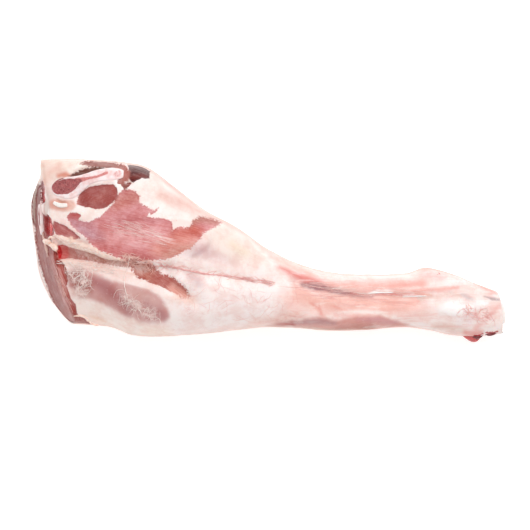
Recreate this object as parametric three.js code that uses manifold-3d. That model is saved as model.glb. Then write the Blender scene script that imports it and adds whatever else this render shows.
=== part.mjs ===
// A raw leg of lamb, bone in, with the shank on and the foot taken off at the hock. It lies on its
// outer side with the inner face up, and its thigh and hock are pressed flat where they rest.
// Millimetres. +X runs from the saw cut at the loin end to the hock, +Y towards the back of the leg
// (rump, tendon and heel) and +Z up. The origin is on the table under the middle of the outline.
import * as THREE from "three";
import { mergeVertices } from "three/addons/utils/BufferGeometryUtils.js";
import Module from "manifold-3d";

const wasm = await Module();
wasm.setup();

// Driving dimensions.
const LENGTH = 473; // loin cut to hock, along the middle
const WIDTH = 178; // rump to flank
const THICKNESS = 102; // at the middle of the thigh
const BONE_GAP = 0.3; // between a bone and what holds it
const BONE_PROUD = 0.8; // sawn bone stands this far out of the meat
const LEFT = -LENGTH / 2;
const RIGHT = LENGTH / 2;

// How finely the leg is faceted.
const RING_COUNT = 68;
const TOP_STEPS = 26;
const LOW_STEPS = 14;
const LOIN_CAP_RINGS = 4;
const HOCK_CAP_RINGS = 3;
const SECTION_SAMPLES = 240;

// The leg's form at named places. Along is a share of LENGTH from the loin cut, back and front are the
// two edges as shares of WIDTH, top and low are heights as shares of THICKNESS, and corner is how
// square the upper back edge is: 2 is round, and more is squarer.
const FORM = [
  { place: "loin cut", along: 0.0, back: 0.503, front: -0.426, top: 0.67, low: 0.04, corner: 5 },
  { place: "pubis", along: 0.063, back: 0.505, front: -0.435, top: 0.77, low: -0.02, corner: 5 },
  { place: "hip joint", along: 0.127, back: 0.497, front: -0.447, top: 0.85, low: -0.03, corner: 5 },
  { place: "flank", along: 0.203, back: 0.483, front: -0.483, top: 0.92, low: -0.03, corner: 4 },
  { place: "pin bone", along: 0.25, back: 0.455, front: -0.496, top: 0.965, low: -0.03, corner: 3.2 },
  { place: "rump", along: 0.3, back: 0.359, front: -0.495, top: 0.99, low: -0.03, corner: 2.7 },
  { place: "thigh", along: 0.369, back: 0.219, front: -0.478, top: 1.0, low: -0.03, corner: 2.4 },
  { place: "stifle", along: 0.437, back: 0.121, front: -0.459, top: 0.95, low: -0.03, corner: 2.3 },
  { place: "knee", along: 0.5, back: 0.004, front: -0.444, top: 0.85, low: -0.025, corner: 2.2 },
  { place: "calf", along: 0.572, back: -0.088, front: -0.452, top: 0.71, low: 0.02, corner: 2.1 },
  { place: "upper shank", along: 0.64, back: -0.136, front: -0.466, top: 0.6, low: 0.07, corner: 2.1 },
  { place: "shank", along: 0.707, back: -0.146, front: -0.461, top: 0.53, low: 0.08, corner: 2.1 },
  { place: "lower shank", along: 0.8, back: -0.139, front: -0.446, top: 0.48, low: 0.05, corner: 2.1 },
  { place: "heel", along: 0.842, back: -0.107, front: -0.461, top: 0.48, low: 0.02, corner: 2.2 },
  { place: "hock", along: 0.895, back: -0.142, front: -0.491, top: 0.49, low: -0.01, corner: 2.3 },
  { place: "hock joint", along: 0.95, back: -0.195, front: -0.499, top: 0.46, low: -0.02, corner: 2.5 },
  { place: "hock cut", along: 1.0, back: -0.243, front: -0.486, top: 0.38, low: 0.02, corner: 2.8 },
];
const FRONT_CORNER = 2.35; // squareness of the upper front edge
const LOW_CORNER = 2.5; // squareness of the underside
const WIDEST_HEIGHT = 0.45; // the outline's height, as a share of the leg's height there

// The loin cut: its plan line, as x at each y for the middle height, and its lean towards the
// hock for each millimetre of height. The cut turns the corner of the flank at its front.
const LOIN_CUT = [
  { y: -82, x: -188 },
  { y: -68, x: -198 },
  { y: -52, x: -207 },
  { y: -27, x: -217 },
  { y: 8, x: -222 },
  { y: 38, x: -226 },
  { y: 64, x: -227 },
  { y: 90, x: -226 },
];
const LOIN_LEAN = 0.4;
const LOIN_LEAN_AT_RUMP = 0.06;
const LOIN_LEAN_HEIGHT = 42;
const LOIN_REACH = 116; // the sections straighten out over this length
const HOCK_SLANT = 0.1; // the hock cut runs further out towards the front
const HOCK_MIDDLE = { y: -65, z: 21 };
const HOCK_DOME_RADIUS = 70; // the hock's end is a shallow dome
const HOCK_PROUD = 3; // its middle stands this far past RIGHT
const HOCK_REACH = 40;

// Soft ridges and grooves of the inner face, each along a line of [x, y] points. A height under 0 is
// a groove. Reach is how far from the line it fades.
const RELIEF = [
  { name: "gracilis bulge", height: 4.5, reach: 26, line: [[-165, 16], [-120, 12], [-75, 14]] },
  { name: "quadriceps bulge", height: 5, reach: 21, line: [[-176, -42], [-140, -52], [-108, -62]] },
  { name: "femoral groove", height: -6, reach: 8, line: [[-206, -6], [-170, -14], [-138, -22], [-100, -21]] },
  { name: "saphenous groove", height: -3, reach: 7, line: [[-100, -21], [-50, -27], [6, -36]] },
  { name: "sartorius groove", height: -3, reach: 9, line: [[-125, -26], [-95, -34], [-68, -54]] },
  { name: "tendon groove", height: -4.5, reach: 6, line: [[30, -34], [66, -45], [100, -48], [150, -51]] },
  { name: "shin muscle", height: 2.5, reach: 9, line: [[46, -72], [80, -74], [120, -72]] },
  { name: "hock knuckle", height: 3.5, reach: 11, line: [[180, -58], [196, -62]] },
  { name: "hock hollow", height: -3, reach: 7, line: [[168, -48], [196, -47], [226, -49]] },
  { name: "obturator hollow", height: -3, reach: 11, line: [[-182, 50], [-164, 50]] },
];

// The sawn bones. Each is a band along a line with a half width at each of its points. Those with
// face "inner" lie in the inner face, as [x, y]; the others lie in a cut, as [y, z].
const BONES = {
  aitch_bone: {
    face: "inner",
    depth: 14,
    roundness: 4,
    line: [[-215, 56.5], [-204, 58], [-192, 63], [-178, 69], [-163, 73], [-144, 74.5]],
    half: [9, 10, 10, 6.5, 6, 8],
  },
  aitch_marrow: {
    face: "inner",
    within: "aitch_bone",
    depth: 11,
    roundness: 2.5,
    line: [[-213, 58.5], [-203, 60], [-192, 65], [-182, 69.5]],
    half: [7.6, 8.6, 7, 3],
  },
  pubic_cartilage: {
    face: "inner",
    depth: 6,
    roundness: 6,
    line: [[-211, 45.6], [-207, 43.4], [-203, 42.4], [-196.5, 42.6]],
    half: [2, 2.2, 2.3, 2.1],
  },
  hip_bone: {
    face: "loin",
    depth: 16,
    roundness: 2.5,
    line: [[14, 31], [24, 33], [34, 35], [45, 37]],
    half: [3.4, 4.2, 5, 4.6],
  },
  hip_marrow: {
    face: "loin",
    within: "hip_bone",
    depth: 12,
    roundness: 2.5,
    line: [[21, 32.4], [27, 33.6], [34, 35], [41, 36.4]],
    half: [1.6, 2.4, 2.8, 2.2],
  },
  hock_bone: {
    face: "hock",
    depth: 14,
    roundness: 2.5,
    line: [[-76, 18], [-64, 21], [-52, 24]],
    half: [9, 10.5, 8.5],
  },
};
const BAND_STEPS = 14;
const BAND_ACROSS = 5;
const BAND_FLOOR = 3; // corners across its underside
const BAND_END = 0.97; // a band stops just short of its very tip
const POCKET_LIFT = 8; // a pocket's cutter stands this far out of the surface
const PINCH = 1e-3; // finest distance at which two corners are one

const COLOURS = {
  leg_meat: { color: "#dfb4ab", roughness: 0.5 },
  aitch_bone: { color: "#f1dcd8", roughness: 0.45 },
  aitch_marrow: { color: "#a64f4c", roughness: 0.6 },
  pubic_cartilage: { color: "#fbf3ea", roughness: 0.35 },
  hip_bone: { color: "#ecd2cb", roughness: 0.45 },
  hip_marrow: { color: "#a9504e", roughness: 0.6 },
  hock_bone: { color: "#f6e9e4", roughness: 0.35 },
};

const clamp = THREE.MathUtils.clamp;
const lerp = THREE.MathUtils.lerp;

/** Smooth curve through points given as two lists, xs rising: returns the value at x. */
function curve(xs, values) {
  const slope = (i) => {
    const a = Math.max(i - 1, 0);
    const b = Math.min(i + 1, xs.length - 1);
    return (values[b] - values[a]) / (xs[b] - xs[a]);
  };
  return (x) => {
    const at = clamp(x, xs[0], xs[xs.length - 1]);
    const found = xs.findIndex((edge, i) => i > 0 && at <= edge);
    const i = found - 1;
    const width = xs[i + 1] - xs[i];
    const t = (at - xs[i]) / width;
    const rise = t * t * (3 - 2 * t);
    const start = t * (1 - t) * (1 - t) * width * slope(i);
    const end = t * t * (t - 1) * width * slope(i + 1);
    return lerp(values[i], values[i + 1], rise) + start + end;
  };
}

const alongMm = FORM.map((f) => LEFT + f.along * LENGTH);
const back = curve(alongMm, FORM.map((f) => f.back * WIDTH));
const front = curve(alongMm, FORM.map((f) => f.front * WIDTH));
const top = curve(alongMm, FORM.map((f) => f.top * THICKNESS));
const low = curve(alongMm, FORM.map((f) => f.low * THICKNESS));
const corner = curve(alongMm, FORM.map((f) => f.corner));
const loinLine = curve(LOIN_CUT.map((p) => p.y), LOIN_CUT.map((p) => p.x));

/** x of the loin cut at a place on it. */
function loinCut(y, z) {
  const rumpward = THREE.MathUtils.smoothstep(y, 43, 86);
  const lean = lerp(LOIN_LEAN, LOIN_LEAN_AT_RUMP, rumpward);
  return loinLine(y) + lean * (z - LOIN_LEAN_HEIGHT);
}

/** x of the hock cut at a place on it. */
function hockCut(y, z) {
  const off = Math.hypot(y - HOCK_MIDDLE.y, z - HOCK_MIDDLE.z);
  const dome = (off * off) / (2 * HOCK_DOME_RADIUS);
  return RIGHT + HOCK_PROUD - HOCK_SLANT * (y - HOCK_MIDDLE.y) - dome;
}

/** x of a point of the section at `station`, moved so that both ends meet their cuts. */
function slanted(station, y, z) {
  const loin = 1 - THREE.MathUtils.smoothstep(station, LEFT, LEFT + LOIN_REACH);
  const hock = THREE.MathUtils.smoothstep(station, RIGHT - HOCK_REACH, RIGHT);
  return station + loin * (loinCut(y, z) - LEFT) + hock * (hockCut(y, z) - RIGHT);
}

/** Distance from a point to a line of points, all [x, y]. */
function distanceTo(line, x, y) {
  let best = Infinity;
  for (let i = 0; i + 1 < line.length; i++) {
    const [ax, ay] = line[i];
    const [bx, by] = [line[i + 1][0] - ax, line[i + 1][1] - ay];
    const t = clamp(((x - ax) * bx + (y - ay) * by) / (bx * bx + by * by), 0, 1);
    best = Math.min(best, Math.hypot(x - ax - t * bx, y - ay - t * by));
  }
  return best;
}

/** Height that the muscles' bulges and grooves add to the inner face. */
function relief(x, y) {
  let sum = 0;
  for (const ridge of RELIEF) {
    const away = distanceTo(ridge.line, x, y) / ridge.reach;
    sum += ridge.height * Math.exp(-away * away);
  }
  return sum;
}

/** The section's widest height, middle and half width at a station. */
function sectionFrame(station) {
  const widest = lerp(low(station), top(station), WIDEST_HEIGHT);
  const middle = (back(station) + front(station)) / 2;
  const half = (back(station) - front(station)) / 2;
  return { widest, middle, half };
}

/** Height of the upper side of the section at `station`, before relief. */
function upperHeight(station, y) {
  const { widest, middle, half } = sectionFrame(station);
  const across = clamp((y - middle) / half, -1, 1);
  const n = across > 0 ? corner(station) : FRONT_CORNER;
  return widest + (top(station) - widest) * (1 - Math.abs(across) ** n) ** (1 / n);
}

/** Height of the finished inner face over a place in plan. */
function innerFace(x, y) {
  let station = x;
  for (let i = 0; i < 12; i++) {
    const overrun = slanted(station, y, upperHeight(station, y)) - x;
    station = clamp(station - overrun, LEFT, RIGHT);
  }
  return upperHeight(station, y) + relief(x, y);
}

/** Half of a section, evenly spaced: over the top from back to front, or under the base and back. */
function halfSection(station, upper, steps) {
  const { widest, middle, half } = sectionFrame(station);
  const side = upper ? 1 : -1;
  const height = Math.abs((upper ? top(station) : low(station)) - widest);
  const fine = [];
  for (let i = 0; i <= SECTION_SAMPLES; i++) {
    const angle = (Math.PI * i) / SECTION_SAMPLES;
    const [c, s] = [Math.cos(angle), Math.sin(angle)];
    const n = upper ? (c > 0 ? corner(station) : FRONT_CORNER) : LOW_CORNER;
    const y = middle + side * half * Math.sign(c) * Math.abs(c) ** (2 / n);
    const z = widest + side * height * Math.abs(s) ** (2 / n);
    fine.push(new THREE.Vector2(y, z));
  }
  const runs = [0];
  for (let i = 1; i < fine.length; i++) runs.push(runs[i - 1] + fine[i].distanceTo(fine[i - 1]));
  const total = runs[runs.length - 1];
  const even = [];
  let j = 0;
  for (let k = 0; k < steps; k++) {
    const want = (total * k) / steps;
    while (runs[j + 1] < want) j++;
    const t = (want - runs[j]) / (runs[j + 1] - runs[j]);
    even.push(fine[j].clone().lerp(fine[j + 1], t));
  }
  return even;
}

/** One closed ring of the leg's skin: over the top from back to front, then under the base. */
function legRing(station) {
  const { widest } = sectionFrame(station);
  const crown = top(station) - widest;
  const flat = [...halfSection(station, true, TOP_STEPS), ...halfSection(station, false, LOW_STEPS)];
  return flat.map(({ x: y, y: z }) => {
    const x = slanted(station, y, z);
    const upness = Math.sqrt(clamp((z - widest) / crown, 0, 1));
    return new THREE.Vector3(x, y, z + upness * relief(x, y));
  });
}

/** Rings that close a cut end, from `rim` to its middle, following `cut`, the cut's x at (y, z). */
function capRings(rim, count, cut) {
  const centre = rim.reduce((sum, p) => sum.add(p), new THREE.Vector3()).divideScalar(rim.length);
  const rings = [];
  for (let k = 1; k <= count; k++) {
    const share = 1 - k / (count + 1);
    rings.push(
      rim.map((p) => {
        const y = lerp(centre.y, p.y, share);
        const z = lerp(centre.z, p.z, share);
        return new THREE.Vector3(cut(y, z), y, z);
      }),
    );
  }
  return rings;
}

/** A closed geometry from rings of equal length, each end closed by a fan. */
function loft(rings) {
  const count = rings[0].length;
  const points = rings.flat();
  const triangles = [];
  for (let r = 0; r + 1 < rings.length; r++) {
    for (let i = 0; i < count; i++) {
      const next = (i + 1) % count;
      const [a, b] = [r * count + i, r * count + next];
      triangles.push(a, a + count, b, b, a + count, b + count);
    }
  }
  for (const [r, turn] of [[0, 1], [rings.length - 1, -1]]) {
    const middle = rings[r].reduce((sum, p) => sum.add(p), new THREE.Vector3());
    points.push(middle.divideScalar(count));
    for (let i = 0; i < count; i++) {
      const [a, b] = [r * count + i, r * count + ((i + 1) % count)];
      if (turn > 0) triangles.push(points.length - 1, a, b);
      else triangles.push(points.length - 1, b, a);
    }
  }
  const geometry = new THREE.BufferGeometry().setFromPoints(points);
  geometry.setIndex(triangles);
  return geometry;
}

/** A manifold-3d solid of a closed geometry, turned so that its faces point outwards. */
function solidOf(geometry) {
  const bare = geometry.clone();
  bare.deleteAttribute("normal");
  bare.deleteAttribute("uv");
  const merged = mergeVertices(bare, PINCH);
  const build = (triVerts) =>
    new wasm.Manifold(
      new wasm.Mesh({
        numProp: 3,
        vertProperties: merged.attributes.position.array,
        triVerts: new Uint32Array(triVerts),
      }),
    );
  const made = build(merged.index.array);
  return made.volume() > 0 ? made : build([...merged.index.array].reverse());
}

/** The geometry of a manifold-3d solid. */
function geometryOf(solid) {
  const mesh = solid.getMesh();
  const positions = new Float32Array(mesh.numVert * 3);
  for (let i = 0; i < mesh.numVert; i++) {
    const from = i * mesh.numProp;
    positions.set(mesh.vertProperties.subarray(from, from + 3), i * 3);
  }
  const geometry = new THREE.BufferGeometry();
  geometry.setAttribute("position", new THREE.BufferAttribute(positions, 3));
  geometry.setIndex(new THREE.BufferAttribute(mesh.triVerts, 1));
  geometry.computeVertexNormals();
  return geometry;
}

/** Puts a bone's own point in space: u and v are in its face's plan, and out is along its face's normal. */
function onFace(face, u, v, out) {
  if (face === "inner") return new THREE.Vector3(u, v, innerFace(u, v) + out);
  if (face === "loin") return new THREE.Vector3(loinCut(u, v) - out, u, v);
  return new THREE.Vector3(hockCut(u, v) + out, u, v);
}

/** A bone as a closed band sunk into its face. Grow widens and deepens it, and lift raises it. */
function bandSolid({ face, depth, roundness, line, half }, grow, lift) {
  const knots = line.map((_, i) => i / (line.length - 1));
  const u = curve(knots, line.map((p) => p[0]));
  const v = curve(knots, line.map((p) => p[1]));
  const halfWidth = curve(knots, half);
  const rings = [];
  for (let k = 0; k <= BAND_STEPS; k++) {
    const end = -Math.cos((Math.PI * k) / BAND_STEPS) * BAND_END;
    const t = (end + 1) / 2;
    const step = 1e-3;
    const heading = new THREE.Vector2(u(t + step) - u(t - step), v(t + step) - v(t - step)).normalize();
    const width = halfWidth(t) * (1 - Math.abs(end) ** roundness) ** (1 / roundness) + grow;
    const stretch = grow * end;
    const ring = [];
    const add = (across, out) => {
      const du = heading.x * stretch - heading.y * across * width;
      const dv = heading.y * stretch + heading.x * across * width;
      ring.push(onFace(face, u(t) + du, v(t) + dv, out));
    };
    for (let i = 0; i < BAND_ACROSS; i++) add((2 * i) / (BAND_ACROSS - 1) - 1, lift);
    for (let i = 0; i < BAND_FLOOR; i++) add(1 - (2 * i) / (BAND_FLOOR - 1), -depth - grow);
    rings.push(ring);
  }
  return solidOf(loft(rings));
}

/** Everything below the table, as a solid. */
function underTable() {
  const slab = new THREE.BoxGeometry(2 * LENGTH, 2 * LENGTH, THICKNESS);
  return solidOf(slab.translate(0, 0, -THICKNESS / 2));
}

/** The whole leg's outer form, with both cuts and the flats it rests on. */
function legSolid() {
  const rings = [];
  for (let i = 0; i < RING_COUNT; i++) {
    rings.push(legRing(lerp(LEFT, RIGHT, i / (RING_COUNT - 1))));
  }
  const loinCap = capRings(rings[0], LOIN_CAP_RINGS, loinCut);
  const hockCap = capRings(rings[RING_COUNT - 1], HOCK_CAP_RINGS, hockCut);
  return solidOf(loft([...loinCap.reverse(), ...rings, ...hockCap])).subtract(underTable());
}

/** Every node's solid by name: the meat with a pocket for each bone, and the bones in them. */
function solids() {
  const made = { leg_meat: legSolid() };
  for (const [name, bone] of Object.entries(BONES)) {
    const holder = bone.within ?? "leg_meat";
    made[holder] = made[holder].subtract(bandSolid(bone, BONE_GAP, POCKET_LIFT));
    made[name] = bandSolid(bone, 0, BONE_PROUD);
  }
  return made;
}

const leg = new THREE.Group();
leg.name = "leg_of_lamb";
for (const [name, solid] of Object.entries(solids())) {
  const mesh = new THREE.Mesh(geometryOf(solid), new THREE.MeshStandardMaterial(COLOURS[name]));
  mesh.name = name;
  leg.add(mesh);
}

export default leg;
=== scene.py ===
"""A raw leg of lamb on a pale table, inner face up, dressed over its CAD frame.

The leg's skin is one fine loft with the same sections as the CAD meat. Its tissues (bare meat, fat,
sinew, membrane, blood) are named shapes in the plan of the inner face. Each gives the skin its relief
and the attributes that the flesh finish reads. Bones, marrow, sinew threads and clots are pieces of
their own. Tables are in millimetres and are turned into metres when a mesh is made.
"""

from __future__ import annotations

import itertools
import logging
import math
from dataclasses import dataclass, field
from enum import Enum
from typing import Callable, Sequence

import bmesh
import bpy
import numpy as np
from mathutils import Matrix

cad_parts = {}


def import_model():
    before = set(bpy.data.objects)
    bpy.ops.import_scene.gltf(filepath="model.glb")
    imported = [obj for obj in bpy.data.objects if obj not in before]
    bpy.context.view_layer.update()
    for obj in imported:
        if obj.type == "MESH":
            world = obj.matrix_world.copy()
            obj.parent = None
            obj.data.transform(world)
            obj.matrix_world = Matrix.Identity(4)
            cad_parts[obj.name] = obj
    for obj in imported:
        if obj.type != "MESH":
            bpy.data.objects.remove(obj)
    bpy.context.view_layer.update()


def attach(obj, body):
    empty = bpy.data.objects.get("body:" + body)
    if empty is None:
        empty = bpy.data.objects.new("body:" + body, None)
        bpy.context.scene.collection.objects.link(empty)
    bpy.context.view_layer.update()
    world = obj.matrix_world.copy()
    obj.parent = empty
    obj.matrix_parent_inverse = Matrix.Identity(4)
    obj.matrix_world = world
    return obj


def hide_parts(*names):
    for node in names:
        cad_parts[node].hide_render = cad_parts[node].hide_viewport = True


Array = np.ndarray
Point = tuple[float, float]
Material = bpy.types.Material
Node = bpy.types.Node
NodeTree = bpy.types.NodeTree
Piece = bpy.types.Object
Socket = bpy.types.NodeSocket

MM = 0.001
log = logging.getLogger("leg_of_lamb")


class Slot(Enum):
    """Material slots of the record."""

    MEAT = "meat_and_fat"
    BONE = "bone"
    MARROW = "marrow"
    CARTILAGE = "cartilage"


class Face(Enum):
    """The faces that a bone can show in."""

    INNER = "inner"
    LOIN = "loin"
    HOCK = "hock"


class Kind(Enum):
    """What a tissue does to the skin where it lies."""

    LEAN = "bare meat with a crisp edge"
    UNDER = "meat seen through a membrane"
    COVER = "fat or sinew over the meat"
    FAT = "a soft change of the fat's tint"
    MEAT = "a soft change of the meat's tint"
    STAIN = "a soft change of both tints"
    BLOOD = "wet blood"
    WEB = "a haze of torn membrane"
    SHEEN = "pale streaks along the grain"


def linear(code: str) -> Array:
    """Linear colour of a hex code such as "#f0e0d8".

    Args:
        code: Six hex digits after a hash.

    Returns:
        Red, green and blue, each from 0 to 1.
    """
    srgb = np.array([int(code[i : i + 2], 16) / 255 for i in (1, 3, 5)])
    return np.where(srgb <= 0.04045, srgb / 12.92, ((srgb + 0.055) / 1.055) ** 2.4)


def smooth(low: float, high: float, value: Array) -> Array:
    """0 below low, 1 above high, and a smooth step between."""
    t = np.clip((value - low) / (high - low), 0, 1)
    return t * t * (3 - 2 * t)


def blend(base: Array, tint: str, share: Array) -> Array:
    """Rows of colours mixed with a tint by a share for each row."""
    return base + (linear(tint) - base) * share[:, None]


def through(points: Sequence[Sequence[float]], t: Array) -> Array:
    """Places at shares t of a smooth curve through points, one row for each share."""
    knots = np.linspace(0, 1, len(points))
    return np.stack([SmoothCurve(knots, axis)(t) for axis in zip(*points)], axis=-1)


@dataclass(frozen=True)
class Grit:
    """Smooth seeded noise in space."""

    seed: int

    def value(self, points: Array, size: float) -> Array:
        """Noise from -1 to 1 at each point.

        Args:
            points: Rows of x, y, z.
            size: Distance from one bump to the next.

        Returns:
            One number for each row.
        """
        scaled = points / size
        cell = np.floor(scaled).astype(np.int64)
        t = scaled - cell
        t = t * t * (3 - 2 * t)
        total = np.zeros(len(points))
        for corner in itertools.product((0, 1), repeat=3):
            c = cell + np.array(corner)
            mixed = c[:, 0] * 73856093 ^ c[:, 1] * 19349663 ^ c[:, 2] * 83492791 ^ self.seed * 2654435761
            mixed &= 0xFFFFFFFF
            mixed = ((mixed ^ (mixed >> 15)) * 2246822519) & 0xFFFFFFFF
            mixed = ((mixed ^ (mixed >> 13)) * 3266489917) & 0xFFFFFFFF
            hashed = ((mixed ^ (mixed >> 16)) & 0xFFFF) / 32767.5 - 1
            total += hashed * np.prod(np.where(np.array(corner) == 1, t, 1 - t), axis=1)
        return total

    def fractal(self, points: Array, size: float, octaves: int = 3) -> Array:
        """Sum of finer and fainter noise, about -1 to 1."""
        layers = [self.value(points + 17.3 * k, size / 2**k) / 2**k for k in range(octaves)]
        return np.sum(layers, axis=0) / 1.5


class SmoothCurve:
    """Smooth curve through points, the same one that the CAD part uses."""

    def __init__(self, xs: Sequence[float], values: Sequence[float]) -> None:
        """Keeps the points and works out the slope at each.

        Args:
            xs: Places along the curve, rising.
            values: The value at each place.
        """
        self.xs = np.array(xs, float)
        self.values = np.array(values, float)
        before = np.maximum(np.arange(len(self.xs)) - 1, 0)
        after = np.minimum(np.arange(len(self.xs)) + 1, len(self.xs) - 1)
        self.slopes = (self.values[after] - self.values[before]) / (self.xs[after] - self.xs[before])

    def __call__(self, x: Array | float) -> Array:
        """Follows the curve, held level past both ends.

        Args:
            x: Places along the curve.

        Returns:
            The value at each place.
        """
        at = np.clip(np.asarray(x, float), self.xs[0], self.xs[-1])
        i = np.clip(np.searchsorted(self.xs, at, side="left") - 1, 0, len(self.xs) - 2)
        width = self.xs[i + 1] - self.xs[i]
        t = (at - self.xs[i]) / width
        rise = t * t * (3 - 2 * t)
        start = t * (1 - t) ** 2 * width * self.slopes[i]
        end = t * t * (t - 1) * width * self.slopes[i + 1]
        return self.values[i] + (self.values[i + 1] - self.values[i]) * rise + start + end


# --------------------------------------------------------------------------- shapes in plan


def stretch_distance(x: Array, y: Array, start: Point, end: Point) -> tuple[Array, Array]:
    """Where places lie beside a straight stretch of line.

    Args:
        x: Places along the leg.
        y: Places across the leg.
        start: The stretch's start.
        end: The stretch's end.

    Returns:
        Share of the way along the stretch, and distance from it.
    """
    (ax, ay), dx, dy = start, end[0] - start[0], end[1] - start[1]
    t = np.clip(((x - ax) * dx + (y - ay) * dy) / (dx * dx + dy * dy), 0, 1)
    return t, np.hypot(x - ax - t * dx, y - ay - t * dy)


@dataclass(frozen=True)
class Patch:
    """A closed outline in plan."""

    points: tuple[Point, ...]
    reach: float = 0.0

    def depth(self, x: Array, y: Array) -> Array:
        """How far inside the outline each place is, and less than 0 outside.

        Args:
            x: Places along the leg.
            y: Places across the leg.

        Returns:
            Signed distances.
        """
        best = np.full(len(x), np.inf)
        inside = np.zeros(len(x), bool)
        for start, end in zip(self.points, self.points[1:] + self.points[:1]):
            best = np.minimum(best, stretch_distance(x, y, start, end)[1])
            if end[1] != start[1]:
                share = (y - start[1]) / (end[1] - start[1])
                crosses = (start[1] > y) != (end[1] > y)
                inside ^= crosses & (x < start[0] + (end[0] - start[0]) * share)
        return np.where(inside, best, -best)


@dataclass(frozen=True)
class Strand:
    """A line in plan with a half width at each of its points."""

    points: tuple[Point, ...]
    half: tuple[float, ...]

    @property
    def reach(self) -> float:
        """The widest half width."""
        return max(self.half)

    def depth(self, x: Array, y: Array) -> Array:
        """How far inside the band each place is, and less than 0 outside.

        Args:
            x: Places along the leg.
            y: Places across the leg.

        Returns:
            Signed distances.
        """
        best = np.full(len(x), -np.inf)
        places, knots = np.linspace(0, 1, len(self.points)), np.linspace(0, 1, len(self.half))
        widths = np.interp(places, knots, self.half)
        for i, (start, end) in enumerate(zip(self.points, self.points[1:])):
            t, distance = stretch_distance(x, y, start, end)
            best = np.maximum(best, widths[i] + t * (widths[i + 1] - widths[i]) - distance)
        return best


@dataclass(frozen=True)
class Tissue:
    """A named tissue of the inner face: its shape, tint and relief."""

    name: str
    kind: Kind
    tint: str
    shape: Patch | Strand
    soft: float = 1.2
    strength: float = 1.0
    lift: float = 0.0
    grain: float = 0.0
    fibre: float = 1.0


# --------------------------------------------------------------------------- form of the leg


@dataclass(frozen=True)
class Section:
    """The leg's form at a named place, as shares of its length, width and thickness."""

    place: str
    along: float
    back: float
    front: float
    top: float
    low: float
    corner: float


@dataclass(frozen=True)
class Ridge:
    """A soft ridge or groove of the inner face along a line."""

    name: str
    height: float
    reach: float
    line: tuple[Point, ...]


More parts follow.
